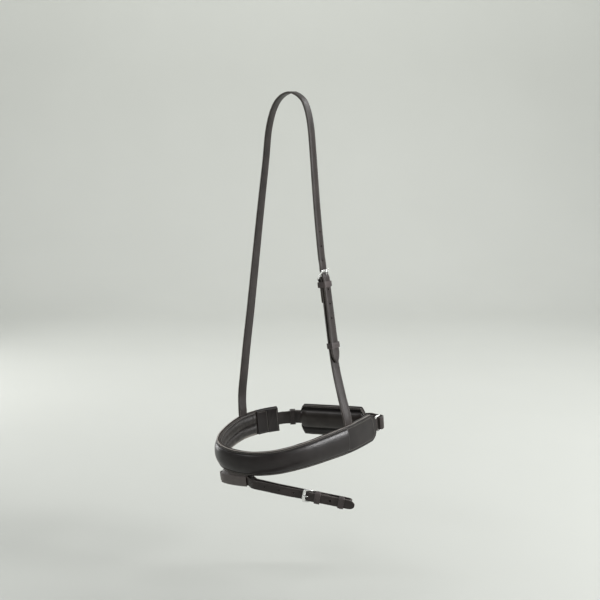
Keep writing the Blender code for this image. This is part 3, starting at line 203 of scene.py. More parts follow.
# The nosepiece's line in plan, off tab to near tab, as shares of band_half_width and band_depth
nose_line_shares = (
    (-0.490, 0.367), (-0.605, 0.275), (-0.701, 0.175), (-0.780, 0.060), (-0.828, -0.060),
    (-0.841, -0.210), (-0.829, -0.400), (-0.783, -0.610), (-0.690, -0.785), (-0.546, -0.902),
    (-0.370, -0.968), (-0.170, -0.992), (0.070, -0.962), (0.316, -0.846), (0.560, -0.594),
    (0.762, -0.269), (0.940, 0.080), (1.010, 0.300), (1.048, 0.455), (1.072, 0.535),
)
# The rounded end of the near tab: how much of near_tab_round is left, then the shares of the
# half height that are left above and below
near_tab_end_shares = (
    (1.00, 1.00, 1.00), (0.62, 1.00, 1.00), (0.50, 0.94, 0.97), (0.25, 0.72, 0.86),
    (0.10, 0.59, 0.72), (0.00, 0.48, 0.52),
)
leg_foot_share = 0.6  # height share below which a leg leaves the arch's plane
# How far the sliphead's face looks up on the legs and on the arch
leg_lean_share = 0.13
arch_lean_share = 0.9
# How far each leg's face turns towards the nose
off_leg_turn_share = 0.21
near_leg_turn_share = 0.08
# The sliphead's legs, from the poll down, as shares of arch_reach and hang_drop
off_leg_shares = (
    (-0.130, -0.0045), (-0.222, -0.0210), (-0.289, -0.0440), (-0.336, -0.0700), (-0.380, -0.1080),
    (-0.427, -0.1920), (-0.484, -0.2800), (-0.540, -0.3690), (-0.594, -0.4580), (-0.649, -0.5490),
    (-0.704, -0.6400), (-0.760, -0.7320), (-0.805, -0.8260), (-0.832, -0.9000),
)
near_leg_shares = (
    (0.115, -0.0035), (0.205, -0.0190), (0.262, -0.0430), (0.298, -0.0700), (0.328, -0.1080),
    (0.364, -0.1880), (0.399, -0.2740), (0.438, -0.3600), (0.485, -0.4460), (0.540, -0.5360),
    (0.600, -0.6200), (0.662, -0.7060), (0.735, -0.7920), (0.825, -0.8680),
)
# The crank strap from the off tab to the chin pad, as shares of band_half_width, band_depth
# and pad_start_drop
crank_line_shares = ((-0.410, 0.425, 0.45), (-0.310, 0.480, 0.85))
pad_start_shares = (-0.105, 0.539)
pad_end_shares = (0.830, 0.640)
# The crank billet between the pad and the near ring, out and back, same shares
billet_out_shares = ((0.992, 0.641),)
billet_back_shares = ((1.010, 0.700), (0.900, 0.712))
# The flash strap from its holder, in plan and height, as shares of band_half_width,
# band_depth and hang_drop
flash_line_shares = (
    (0.040, -1.008, -1.0934), (0.210, -0.998, -1.0958), (0.410, -0.960, -1.1013),
    (0.610, -0.902, -1.1078), (0.830, -0.831, -1.1156), (1.090, -0.747, -1.1243),
    (1.320, -0.672, -1.1328), (1.480, -0.620, -1.1386),
)
# The narrowing of a strap's tip, along it and across it
pointed_tip_shares = ((0.0, 1.0), (0.45, 0.80), (0.80, 0.48), (1.0, 0.22))
round_tip_shares = ((0.0, 1.0), (0.40, 0.93), (0.75, 0.70), (1.0, 0.34))
# The billet's line from under a front bar up over the heel bar: its places along the strap as
# shares of bar_spacing, and how much of the climb is done there
dip_shares = (
    (-1.75, 0.02), (-1.30, -0.03), (-1.00, 0.00), (-0.78, 0.16), (-0.56, 0.42), (-0.34, 0.70),
    (-0.12, 0.92),
)
crank_dip_shares = (
    (-1.75, 0.00), (-1.30, 0.00), (-1.00, 0.00), (-0.78, 0.17), (-0.56, 0.44), (-0.34, 0.72),
    (-0.12, 0.94),
)
dip_top_share = 0.15  # where the climb ends, past the heel bar
dip_squeeze = 0.66  # how much of the billet's thickness fits under a front bar

# How finely the pieces that show are made
sharp_angle = math.radians(50)  # edges bent more than this stay sharp
strap_step = 0.0030  # between a strap's cross-sections on straight runs
bend_step = 0.0012  # and in bends, where it turns or narrows by more than the next two
bend_turn = math.radians(7)
bend_narrowing = 0.0006
band_fine = 0.0018  # between the band's cross-sections
bar_sides = 16  # of a buckle's or ring's bar
bar_corner_steps = 7  # round each of its corners
prong_sides = 12
prong_wrap_deg = 290  # how far a prong goes round its heel bar
prong_wrap_steps = 9
keeper_corner_steps = 6
keeper_step = 0.0012
hole_sides = 20
outer_rows = 34  # steps across the outer leather
lining_rows = 52  # and across the lining
pad_columns = 90  # steps along the chin pad
pad_corner = 0.0007  # rounding of the pad's rim

# Creases, stitches, the crown, the lining and other things that only the looks have
crease_inset = 0.0013  # the line pressed in along a strap's edge
crease_width = 0.0006
crease_depth = 0.00014
stitch_pitch = 0.0028
stitch_length = 0.0020
stitch_radius = 0.00040
stitch_inset = 0.0019  # edge of the leather to its row of stitches
foot_seam = 0.009  # length of stitching up each sewn-in strap's foot
tab_stitch_inset = 0.0042  # on the near tab's outer face
stitch_sink = 0.00005  # how deep the stitches lie in the leather
crown_look_share = 0.82  # how much of the band's height the padded crown takes
crown_end_setback = 0.0515  # tab end to the blunt end of the crown
crown_end_length = 0.0035
crown_unevenness = 0.00022
groove_dip = 0.00055  # pressed line at the foot of the crown
lining_gap = 0.0024  # open gap between the lining's end and the tab facing
lining_unevenness = 0.0005  # of its edge line
lining_puff_fade = 0.010  # length over which the rolls come up
lining_end_length = 0.0016
lining_end_steps = (0.0, 0.06, 0.25, 0.55, 1.0)  # cross-sections of its rounded ends
lining_short = 0.0026  # how far the lining's lower edge stays above the band's
lining_margin_share = 0.84  # the lining's flat sewn margin starts here, above
lining_low_share = 0.72  # and here, below
rib_pitch = 0.0022  # ribs of the off facing's sewn end
rib_height = 0.00028
loop_slack = 0.0026  # how loosely the crank billet turns round the ring
bar_flare = 0.0010  # how much wider the buckles' front bars are drawn out


def apply_cuts(target, cutters):
    """Takes the cutters out of the target for good."""
    for cutter in cutters:
        modifier = target.modifiers.new(cutter.name, "BOOLEAN")
        modifier.operation = "DIFFERENCE"
        modifier.solver = "EXACT"
        modifier.object = cutter
    bpy.context.view_layer.update()
    done = target.evaluated_get(bpy.context.evaluated_depsgraph_get())
    mesh = bpy.data.meshes.new_from_object(done)
    target.modifiers.clear()
    target.data = mesh
    for cutter in cutters:
        bpy.data.objects.remove(cutter, do_unlink=True)
    mesh.set_sharp_from_angle(angle=sharp_angle)


def add_object(name, data):
    obj = bpy.data.objects.new(name, data)
    bpy.context.scene.collection.objects.link(obj)
    return obj


def finish(name, mesh_data, *looks_used):
    """Makes the object, facing out, with its looks in the order of their material indices."""
    mesh_data.normal_update()
    bmesh.ops.recalc_face_normals(mesh_data, faces=mesh_data.faces)
    mesh = bpy.data.meshes.new(name)
    mesh_data.to_mesh(mesh)
    mesh_data.free()
    mesh.shade_smooth()
    mesh.set_sharp_from_angle(angle=sharp_angle)
    for look in looks_used:
        mesh.materials.append(looks[look])
    return add_object(name, mesh)


def place_piece(obj, body, *nodes):
    """The piece rides on its body and stands for its CAD nodes."""
    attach(obj, body)
    if nodes:
        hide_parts(*nodes)
    return obj


def add_loft(mesh_data, rings, closed=False, edge_strips=(), groove_strips=(), plain_rings=()):
    """Joins rings of points into a tube, with end caps unless the tube closes on itself.

    The strips of faces that start at the points in edge_strips get material index 1, and those in
    groove_strips index 2. Between the rings numbered in plain_rings, edges count as grooves.
    """
    rows = [[mesh_data.verts.new(point) for point in ring] for ring in rings]
    count = len(rows[0])
    pairs = list(zip(rows, rows[1:]))
    if closed:
        pairs.append((rows[-1], rows[0]))
    for number, (first, second) in enumerate(pairs):
        for i in range(count):
            j = (i + 1) % count
            face = mesh_data.faces.new((first[i], first[j], second[j], second[i]))
            edge = 2 if number in plain_rings else 1
            face.material_index = edge if i in edge_strips else 2 if i in groove_strips else 0
    if not closed:
        mesh_data.faces.new(rows[0][::-1])
        mesh_data.faces.new(rows[-1])


def loft_piece(name, rings, looks_used, **strips):
    """An object of one loft."""
    mesh_data = bmesh.new()
    add_loft(mesh_data, rings, **strips)
    return finish(name, mesh_data, *looks_used)


def spline(points):
    """A smooth line through the points, evenly fine, as a list of vectors."""
    padded = [points[0] * 2 - points[1]] + list(points) + [points[-1] * 2 - points[-2]]
    line = []
    for p0, p1, p2, p3 in zip(padded, padded[1:], padded[2:], padded[3:]):
        steps = max(1, round((p2 - p1).length / route_step))
        t1 = max((p1 - p0).length, route_step) ** 0.5
        t2 = max((p2 - p1).length, route_step) ** 0.5
        t3 = max((p3 - p2).length, route_step) ** 0.5
        slope1 = (p1 - p0) / t1 - (p2 - p0) / (t1 + t2) + (p2 - p1) / t2
        slope2 = (p2 - p1) / t2 - (p3 - p1) / (t2 + t3) + (p3 - p2) / t3
        for i in range(steps):
            u = i / steps
            line.append(
                p1 * (2 * u**3 - 3 * u**2 + 1)
                + p2 * (-2 * u**3 + 3 * u**2)
                + slope1 * (t2 * (u**3 - 2 * u**2 + u))
                + slope2 * (t2 * (u**3 - u**2))
            )
    line.append(points[-1])
    return line


class Route:
    """A line in space with an outward side, which pieces are laid along.

    place(s, a, z) gives the point s along the line, a across it and z outward.
    """

    def __init__(self, points, up=None, smooth=True):
        self.line = spline(points) if smooth else list(points)
        self.length = 0.0
        self.marks = [0.0]
        for first, second in zip(self.line, self.line[1:]):
            self.length += (second - first).length
            self.marks.append(self.length)
        self.up = up
        self.outs = None  # for a route without up: (place, outward direction) pairs

    def nearest(self, point):
        best = min(range(len(self.line)), key=lambda i: (self.line[i] - point).length)
        return self.marks[best]

    def point(self, s):
        if s <= 0:
            return self.line[0] + (self.line[1] - self.line[0]).normalized() * s
        if s >= self.length:
            step = (self.line[-1] - self.line[-2]).normalized()
            return self.line[-1] + step * (s - self.length)
        low, high = 0, len(self.marks) - 1
        while high - low > 1:
            middle = (low + high) // 2
            if self.marks[middle] <= s:
                low = middle
            else:
                high = middle
        share = (s - self.marks[low]) / (self.marks[high] - self.marks[low])
        return self.line[low].lerp(self.line[high], share)

    def tangent(self, s):
        return (self.point(s + tangent_reach) - self.point(s - tangent_reach)).normalized()

    def out(self, s):
        along = self.tangent(s)
        if self.up is not None:
            return along.cross(self.up).normalized()
        guide = self.outs[0][1]
        for (place1, out1), (place2, out2) in zip(self.outs, self.outs[1:]):
            if place1 <= s <= place2 and place2 > place1:
                guide = out1.lerp(out2, (s - place1) / (place2 - place1))
                break
            if s > place2:
                guide = out2
        return (guide - along * guide.dot(along)).normalized()

    def place(self, s, a, z):
        out = self.out(s)
        across = out.cross(self.tangent(s)).normalized()
        return self.point(s) + across * a + out * z


class Local:
    """A straight frame at one place of a route. x runs to the strap's tip, z outward."""

    def __init__(self, route, s, forward=True):
        self.origin = route.point(s)
        self.x = route.tangent(s) * (1 if forward else -1)
        self.z = route.out(s)
        self.y = self.z.cross(self.x).normalized()

    def place(self, x, y, z):
        return self.origin + self.x * x + self.y * y + self.z * z


def tip_nodes(tip, tip_length, z, thickness, width, shares):
    """The narrowing end of a strap."""
    return [
        (tip - tip_length * (1 - along), z, thickness, width * share)
        for along, share in shares
    ]


def block_cutter(name, place, s1, s2, a1, a2, z1, z2):
    """A box between two places of a route, to cut a slot or a groove."""
    return loft_piece(name, [
        [place(s, a1, z1), place(s, a2, z1), place(s, a2, z2), place(s, a1, z2)]
        for s in (s1, s2)
    ], ["edge"])


def rounded_loop(half_x, half_y, corner, corner_steps, centre_x=0.0):
    """Points of a rounded rectangle with their outward directions."""
    loop = []
    for corner_x, corner_y, start in ((1, 1, 0), (-1, 1, 1), (-1, -1, 2), (1, -1, 3)):
        for i in range(corner_steps + 1):
            turn = (start + i / corner_steps) * math.pi / 2
            direction = (math.cos(turn), math.sin(turn))
            loop.append((
                centre_x + corner_x * (half_x - corner) + direction[0] * corner,
                corner_y * (half_y - corner) + direction[1] * corner,
                direction,
            ))
    return loop


def full_turn(sides):
    return [2 * math.pi * i / sides for i in range(sides)]


def round_section(radius_u, radius_v):
    return [
        (math.cos(turn) * radius_u, math.sin(turn) * radius_v) for turn in full_turn(bar_sides)]


def fold_nodes(heel_z, main_thickness, width, main_on_top):
    """The leather round the heel bar, from the folded-back layer to the main layer, as x-z nodes.

    With main_on_top the main layer lies level above the bar. Otherwise it lies level below it.
    """
    side = -1 if main_on_top else 1
    main_gap = bar_radius + clearance + main_thickness / 2
    front = bar_radius + clearance + fold_thickness / 2
    back = bar_radius + clearance + turned_back_thickness / 2
    nodes = []
    for turn_deg, radius, thickness in (
        (90, back, turned_back_thickness), (125, back, turned_back_thickness),
        (155, front, fold_thickness), (180, front, fold_thickness), (205, front, fold_thickness),
        (235, (front + main_gap) / 2, (fold_thickness + main_thickness) / 2),
        (270, main_gap, main_thickness),
    ):
        turn = math.radians(turn_deg)
        nodes.append((
            radius * math.cos(turn), heel_z + side * radius * math.sin(turn), thickness, width
        ))
    return nodes


def turned_back_nodes(heel_z, main_thickness, width, length, main_on_top):
    """The skived end behind the buckle, from its free end to the heel bar."""
    side = -1 if main_on_top else 1
    near_bar = heel_z + side * (bar_radius + clearance + turned_back_thickness / 2)
    flat = side * (main_thickness / 2 + clearance + turned_back_thickness / 2)
    run = turned_back_run_in
    return [
        (x, near_bar + (flat - near_bar) * share, turned_back_thickness, width)
        for x, share in ((length, 1.0), (length * 0.6, 1.0), (run, 1.0), (run * 0.80, 0.93),
                         (run * 0.55, 0.60), (run * 0.28, 0.15))
    ]


def billet_dip(level_z, thickness, front_z):
    """The billet's line from under the front bar up over the heel bar, as x-z pairs."""
    under = front_z - front_bar_thickness / 2 - clearance - thickness * dip_squeeze
    climb = level_z - under
    return [(bar_spacing * x, under + climb * share) for x, share in dip_shares] + [
        (bar_spacing * dip_top_share, level_z)]


def used_hole(dip, thickness):
    """The hole that the prong goes through, square to the billet where it slopes."""
    (x1, z1), (x2, z2) = dip[4], dip[5]
    return (
        (x1 + x2) / 2, (z1 + z2) / 2, math.atan2(z2 - z1, x2 - x1),
        used_hole_length, used_hole_width, thickness / 2 + cut_overrun,
    )


def plain_hole(s, z, thickness, past=cut_overrun):
    return (s, z, 0.0, hole_diameter, hole_diameter, thickness / 2 + past)


def spread(start, end, step):
    """Evenly spaced values between two ends, both left out."""
    count = max(1, round(abs(end - start) / step))
    return [start + (end - start) * i / count for i in range(1, count)]


def connect(tree, node, inputs):
    """Gives the node's inputs their numbers and colours, or links them to other nodes' outputs."""
    for socket, value in inputs.items():
        if isinstance(value, bpy.types.NodeSocket):
            tree.links.new(value, node.inputs[socket])
        else:
            node.inputs[socket].default_value = value


def add_node(tree, kind, output, inputs):
    """Adds a shader node and returns the named output."""
    node = tree.nodes.new("ShaderNode" + kind)
    connect(tree, node, inputs)
    return node.outputs[output]


def add_ramp(tree, source, low, high, low_place=0.0, high_place=1.0):
    """A blend between two colours, led by the source."""
    ramp = tree.nodes.new("ShaderNodeValToRGB")
    first, second = ramp.color_ramp.elements
    first.position, first.color = low_place, (*low, 1.0)
    second.position, second.color = high_place, (*high, 1.0)
    connect(tree, ramp, {"Fac": source})
    return ramp.outputs["Color"]


def new_material(name):
    """A material with its node tree, its shader and the object's own coordinates."""
    material = bpy.data.materials.new(name)
    material.use_nodes = True
    tree = material.node_tree
    coords = add_node(tree, "TexCoord", "Object", {})
    return material, tree, tree.nodes["Principled BSDF"], coords


def leather(name, dark, light, roughness, grain, bump):
    """Grained leather: noise colour, fine cell grain, uneven gloss, and sharp convex edges painted
    lighter as a highlight.
    """
    material, tree, shader, coords = new_material(name)
    clouds = add_node(tree, "TexNoise", "Fac", {
        "Vector": coords, "Scale": 55.0, "Detail": 5.0, "Roughness": 0.6})
    # Sharp convex edges are mixed towards a lighter colour: a painted edge highlight.
    edge_highlight_mask = add_node(tree, "MapRange", "Result", {
        "Value": add_node(tree, "NewGeometry", "Pointiness", {}),
        "From Min": 0.53, "From Max": 0.62, "To Max": 0.5})
    mix = tree.nodes.new("ShaderNodeMix")
    mix.data_type = "RGBA"
    connect(tree, mix, {
        "Factor": edge_highlight_mask, "A": add_ramp(tree, clouds, dark, light, 0.30, 0.72),
        "B": (*[min(1.0, c * 2.0 + 0.012) for c in light], 1.0)})
    cells = tree.nodes.new("ShaderNodeTexVoronoi")
    cells.feature = "SMOOTH_F1"
    connect(tree, cells, {"Vector": coords, "Scale": grain})
    fine = add_node(tree, "TexNoise", "Fac", {
        "Vector": coords, "Scale": grain * 1.7, "Detail": 6.0})
    relief = tree.nodes.new("ShaderNodeMath")
    relief.operation = "MULTIPLY_ADD"
    connect(tree, relief, {0: cells.outputs["Distance"], 1: 0.7, 2: fine})
    patches = add_node(tree, "TexNoise", "Fac", {"Vector": coords, "Scale": 130.0, "Detail": 3.0})
    connect(tree, shader, {
        "Specular IOR Level": 0.42,
        "Base Color": mix.outputs["Result"],
        "Normal": add_node(tree, "Bump", "Normal", {
            "Strength": bump, "Distance": 0.0004, "Height": relief.outputs["Value"]}),
        "Roughness": add_node(tree, "MapRange", "Result", {
            "Value": patches, "To Min": roughness - 0.07, "To Max": roughness + 0.10}),
    })
    return material


def steel(name):
    """Polished steel with faint brush marks and duller patches."""
    material, tree, shader, coords = new_material(name)
    marks = add_node(tree, "TexNoise", "Fac", {"Vector": coords, "Scale": 420.0, "Detail": 4.0})
    connect(tree, shader, {
        "Metallic": 1.0,
        "Base Color": add_ramp(tree, marks, (0.80, 0.80, 0.79), (0.94, 0.94, 0.93)),
        "Roughness": add_node(tree, "MapRange", "Result", {
            "Value": marks, "To Min": 0.16, "To Max": 0.34}),
    })
    return material


def thread(name, colour):
    """Waxed thread with a fine twist."""
    material, tree, shader, coords = new_material(name)
    twist = add_node(tree, "TexNoise", "Fac", {"Vector": coords, "Scale": 2600.0})
    connect(tree, shader, {
        "Base Color": add_ramp(tree, twist, [c * 0.6 for c in colour], [c * 1.25 for c in colour]),
        "Normal": add_node(tree, "Bump", "Normal", {"Distance": 0.0001, "Height": twist}),
        "Roughness": 0.55,
    })
    return material


# Name of each leather, its darker and lighter colour, roughness, grain and depth of the grain
leathers = {
    "leather": (
        "bridle_leather", (0.0088, 0.0062, 0.0064), (0.0176, 0.0132, 0.0132), 0.31, 900.0, 0.20),
    "pad": (
        "pad_leather", (0.0150, 0.0112, 0.0098), (0.0300, 0.0230, 0.0202), 0.34, 900.0, 0.20),
    "strap": (
        "strap_leather", (0.0190, 0.0140, 0.0132), (0.038, 0.0288, 0.0272), 0.40, 1000.0, 0.22),
    "edge": ("cut_edge", (0.014, 0.011, 0.010), (0.026, 0.021, 0.019), 0.60, 1400.0, 0.40),
    # Strap edge look: cut edges and the chin pad's rim lighter than the face, partly the edge's own
    # tone, partly a painted edge highlight.
    "strap_edge": (
        "strap_cut_edge_painted_highlight", (0.050, 0.043, 0.038), (0.105, 0.092, 0.084), 0.46, 1500.0, 0.30),
    # Pale edge look: a painted highlight along the edges of the band's layers and on the strips by
    # the lining's lower edge.
    "painted_edge_highlight": (
        "band_edge_painted_highlight", (0.170, 0.150, 0.134), (0.310, 0.280, 0.255), 0.46, 1500.0, 0.35),
    # Groove look: darker and rougher, for grooves, margins and gaps; on the lighter pad face and
    # middle layer its darkness is painted shade.
    "groove": (
        "pressed_groove_painted_shade", (0.011, 0.009, 0.0085), (0.020, 0.017, 0.016), 0.58, 1300.0, 0.40),
    # Keeper look: a lighter copy of the strap leather, painted as if lit, so the keepers stand
    # apart from the shade beside them.
    "keeper": (
        "keeper_painted_lit_leather", (0.042, 0.0325, 0.0325), (0.078, 0.063, 0.062), 0.40, 1000.0, 0.22),
    "holder": (
        "holder_leather", (0.072, 0.061, 0.058), (0.124, 0.107, 0.102), 0.42, 1000.0, 0.22),
    "middle": (
        "middle_layer_edge", (0.030, 0.024, 0.020), (0.060, 0.049, 0.042), 0.70, 1600.0, 0.45),
    "lining": (
        "lining_leather", (0.0110, 0.0082, 0.0070), (0.0235, 0.0186, 0.0162), 0.50, 800.0, 0.30),
    "foam": ("dark_foam", (0.020, 0.017, 0.015), (0.040, 0.035, 0.031), 0.90, 2400.0, 0.50),
}
looks = {kind: leather(*values) for kind, values in leathers.items()}
looks["steel"] = steel("polished_steel")
looks["thread"] = thread("stitch_thread", (0.185, 0.168, 0.152))


def strap_section(width, thickness):
    """A strap's cross-section: rounded edges, a pressed line inside each edge, a slight crown."""
    w, t = width / 2, thickness / 2
    r = min(t * 0.75, w * 0.30)
    inset = min(crease_inset, w * 0.22)
    half = []
    for step in range(4):
        turn = math.pi / 2 * step / 3
        half.append((w - r + r * math.cos(turn), t - r + r * math.sin(turn)))
    groove = min(crease_width, w * 0.08)
    dip = min(crease_depth, t * 0.15)
    half += [(w - r - inset, t), (w - r - inset - groove / 2, t - dip), (w - r - inset - groove, t)]
    half += [(w * 0.35, t + t * 0.03)]
    top = half + [(-a, z) for a, z in reversed(half)]
    return top + [(a, -z) for a, z in reversed(top)]


# The strips of that section that are the strap's cut edges
strap_edge_strips = (0, 14, 15, 16, 30, 31)


def strap_rings(place, nodes):
    """Rings square to a line of (s, z, thickness, width) nodes laid in a route's s-z plane."""
    rings = []
    for i, (s, z, thickness, width) in enumerate(nodes):
        before, after = nodes[max(i - 1, 0)], nodes[min(i + 1, len(nodes) - 1)]
        ds, dz = after[0] - before[0], after[1] - before[1]
        size = math.hypot(ds, dz)
        ds, dz = ds / size, dz / size
        rings.append([
            place(s - dz * out, a, z + ds * out)
            for a, out in strap_section(width, thickness)
        ])
    return rings


def resampled(nodes):
    """The nodes on a smooth line through them, close together where it bends."""
    fine = spline([Vector(node) for node in nodes])
    kept = [fine[0]]
    run = 0.0
    heading = None
    for before, here in zip(fine, fine[1:]):
        move = here - before
        run += math.hypot(move.x, move.y)
        angle = math.atan2(move.y, move.x)
        heading = angle if heading is None else heading
        turned = abs(math.remainder(angle - heading, 2 * math.pi)) > bend_turn
        narrowed = abs(here.w - kept[-1].w) > bend_narrowing
        if run >= strap_step or (run >= bend_step and (turned or narrowed)):
            kept.append(here)
            run, heading = 0.0, angle
    if (kept[-1] - fine[-1]).length < bend_step * 0.5:
        kept.pop()
    kept.append(fine[-1])
    return [tuple(node) for node in kept]


def strap(name, place, nodes):
    """A strap through (s, z, thickness, width) nodes of a route."""
    rings = strap_rings(place, resampled(nodes))
    # The cut edges take the strap edge look: lighter, partly a painted edge highlight.
    return loft_piece(name, rings, ["strap", "strap_edge"], edge_strips=strap_edge_strips)


def round_hole_cutter(name, place, holes):
    """One cutter for a strap's holes, each (s, z, slope, length, width, depth)."""
    mesh_data = bmesh.new()
    for s, z, slope, length, width, depth in holes:
        ds, dz = math.cos(slope), math.sin(slope)
        rings = []
        for level in (-depth, depth):
            ring = []
            for turn in full_turn(hole_sides):
                run = math.cos(turn) * length / 2
                ring.append(place(
                    s + ds * run - dz * level, math.sin(turn) * width / 2, z + dz * run + ds * level
                ))
            rings.append(ring)
        add_loft(mesh_data, rings)
    return finish(name, mesh_data, "edge")


def stitch_row(mesh_data, point, normal, start, end):
    """Short raised stitches from start to end of a line, placed by point(s) and normal(s)."""
    count = max(1, round(abs(end - start) / stitch_pitch))
    step = (end - start) / count
    for i in range(count):
        s0 = start + step * (i + 0.5) - math.copysign(stitch_length / 2, step)
        s1 = start + step * (i + 0.5) + math.copysign(stitch_length / 2, step)
        rings = []
        for u in (0.0, 0.12, 0.35, 0.65, 0.88, 1.0):
            s = s0 + (s1 - s0) * u
            centre, out = point(s), normal(s)
            along = (point(s + route_step) - point(s - route_step)).normalized()
            side = along.cross(out).normalized()
            bulge = math.sin(math.pi * (0.10 + 0.80 * u))
            radius = stitch_radius * (0.45 + 0.55 * bulge)
            centre = centre + out * (stitch_radius * (bulge - 0.75)) + side * (
                stitch_radius * (u - 0.5) * 1.2)
            rings.append([
                centre + side * (radius * math.cos(turn)) + out * (radius * math.sin(turn))
                for turn in full_turn(6)
            ])
        add_loft(mesh_data, rings)


def stitches(name, rows):
    """One piece for a seam, from rows of (point, normal, start, end)."""
    mesh_data = bmesh.new()
    for row in rows:
        stitch_row(mesh_data, *row)
    return place_piece(finish(name, mesh_data, "thread"), "noseband")


def strap_seam(place, z, a, start, end):
    """A row along a strap's outer face, z above its middle line and a across it."""
    side = 1 if z >= 0 else -1
    return (
        lambda s: place(s, a, z),
        lambda s: (place(s, a, z + side * route_step) - place(s, a, z)).normalized(),
        start, end,
    )


def edge_seams(place, width, rows):
    """Rows of (z, start, end) along both edges of a strap."""
    inset = width / 2 - stitch_inset
    return [strap_seam(place, z, a, start, end) for a in (inset, -inset) for z, start, end in rows]


def drawn_seam(points, place, z, side=1):
    """A row along a line of (s, h) points on a face at height z, which looks to the given side."""
    line = Route([Vector((s, h, 0)) for s, h in points], up=Vector((0, 0, 1)), smooth=False)

    def on_face(run, rise=0.0):
        at = line.point(run)
        return place(at.x, at.y, z + rise)

    def normal(run):
        return (on_face(run, side * route_step) - on_face(run)).normalized()

    return on_face, normal, 0.0, line.length


def smooth_hoop(name, to_world, loop, section, look):
    """A closed bar or band round a loop. section is its cross-section, or gives it at x."""
    rings = []
    for x, y, direction in loop:
        shape = section(x) if callable(section) else section
        rings.append([
            to_world(x + direction[0] * u, y + direction[1] * u, v) for u, v in shape
        ])
    return loft_piece(name, rings, [look], closed=True)


# By default a keeper takes the keeper look, a lighter, painted-lit copy of the strap leather.
def keeper(name, local, x1, half_width, z1, z2, body, node, look="keeper"):
    """A leather loop round a stack of straps, from z1 to z2, with pressed lines at its edges."""
    half_y = half_width + keeper_clearance + keeper_thickness / 2
    half_z = (z2 - z1) / 2 + keeper_clearance + keeper_thickness / 2
    middle_z = (z1 + z2) / 2
    corner = keeper_corner + keeper_thickness / 2
    section = [(out, a) for a, out in strap_section(keeper_width, keeper_thickness)]
    middle_x = x1 + keeper_width / 2
    loop = even_loop(rounded_loop(half_y, half_z, corner, keeper_corner_steps), keeper_step)
    obj = smooth_hoop(
        name, lambda y, z, x: local.place(middle_x + x, y, middle_z + z), loop, section, look)
    return place_piece(obj, body, node)


def even_loop(loop, step):
    """The loop with points added on its long straight runs."""
    filled = []
    for (x1, y1, d1), (x2, y2, d2) in zip(loop, loop[1:] + loop[:1]):
        count = max(1, round(math.hypot(x2 - x1, y2 - y1) / step))
        for i in range(count):
            u = i / count
            filled.append((x1 + (x2 - x1) * u, y1 + (y2 - y1) * u, (
                d1[0] + (d2[0] - d1[0]) * u, d1[1] + (d2[1] - d1[1]) * u)))
    return filled


def buckle_frame(name, local, heel_z, front_z, strap_width, body, node):
    """A rectangular frame: round heel bar at x = 0, flat front bar at x = -bar_spacing."""
    rise = front_z - heel_z
    length = math.hypot(bar_spacing, rise)
    cos_rise, sin_rise = bar_spacing / length, rise / length
    half_y = strap_width / 2 + frame_side_clearance + side_bar_radius

    def to_world(x, y, v):
        return local.place(-x * cos_rise - v * sin_rise, y, heel_z + x * sin_rise - v * cos_rise)

    def section(x):
        front = min(1.0, max(0.0, (x - length + frame_corner * 1.2) / (frame_corner * 1.2)))
        return round_section(
            side_bar_radius + (front_bar_width / 2 + bar_flare / 2 - side_bar_radius) * front,
            side_bar_radius + (front_bar_thickness / 2 - side_bar_radius) * front)

    loop = rounded_loop(length / 2, half_y, frame_corner, bar_corner_steps, length / 2)
    return place_piece(smooth_hoop(name, to_world, loop, section, "steel"), body, node)


def buckle_prong(name, local, heel_z, front_z, body, node):
    """A bent wire: round the heel bar, up through the billet and down on to the front bar."""
    wrap = bar_radius + clearance + prong_radius
    rest_z = front_z + front_bar_thickness / 2 + clearance + prong_radius
    path = []
    for i in range(prong_wrap_steps + 1):
        turn = math.pi + math.radians(prong_wrap_deg) * (1 - i / prong_wrap_steps)
        path.append(Vector((wrap * math.cos(turn), heel_z + wrap * math.sin(turn))))
    climb = rest_z - heel_z
    path += [
        Vector((-wrap - bar_spacing * 0.09, heel_z + climb * 0.30)),
        Vector((-wrap - bar_spacing * 0.20, heel_z + climb * 0.62)),
        Vector((-wrap - bar_spacing * 0.32, heel_z + climb * 0.88)),
        Vector((-wrap - bar_spacing * 0.47, rest_z)),
        Vector((-bar_spacing - front_bar_width * 0.62, rest_z)),
    ]
    path = spline(path)
    rings = []
    for i, (x, z) in enumerate(path):
        before, after = path[max(i - 1, 0)], path[min(i + 1, len(path) - 1)]
        dx, dz = (after - before).normalized()
        left = min(i, len(path) - 1 - i)
        radius = prong_radius * min(1.0, 0.55 + 0.15 * left)
        rings.append([
            local.place(
                x - dz * radius * math.cos(turn), radius * math.sin(turn),
                z + dx * radius * math.cos(turn),
            )
            for turn in full_turn(prong_sides)
        ])
    return place_piece(loft_piece(name, rings, ["steel"]), body, node)


# The band's own frame: a plane through the hanging point, tipped so that the nose is low
tilt = math.radians(band_tilt_deg)
band_up = Vector((0, -math.sin(tilt), math.cos(tilt)))
band_back = Vector((0, math.cos(tilt), math.sin(tilt)))
band_origin = Vector((0, 0, -hang_drop))


def in_band(x_share, y_share):
    return band_origin + Vector((1, 0, 0)) * (x_share * band_half_width) + band_back * (
        y_share * band_depth)


nose = Route([in_band(x, y) for x, y in nose_line_shares], up=band_up)
nose_length = nose.length


def half_height(s):
    """Half the band's height: low over the nose, higher at the cheeks and tabs."""
    share = min(s, nose_length - s) / (nose_length / 2)
    ease = 1 - min(1, max(0, (share - 0.15) / 0.75))
    ease = ease * ease * (3 - 2 * ease)
    end_height = tab_height if s > nose_length / 2 else off_tab_height
    return (nose_height + (end_height - nose_height) * ease) / 2


def fade(s, setback, length):
    """0 at the tab ends, 1 past the fade, smooth between."""
    distance = min(s, nose_length - near_tab_extra - s) - setback
    share = min(1.0, max(0.0, distance / length))
    return share * share * (3 - 2 * share)


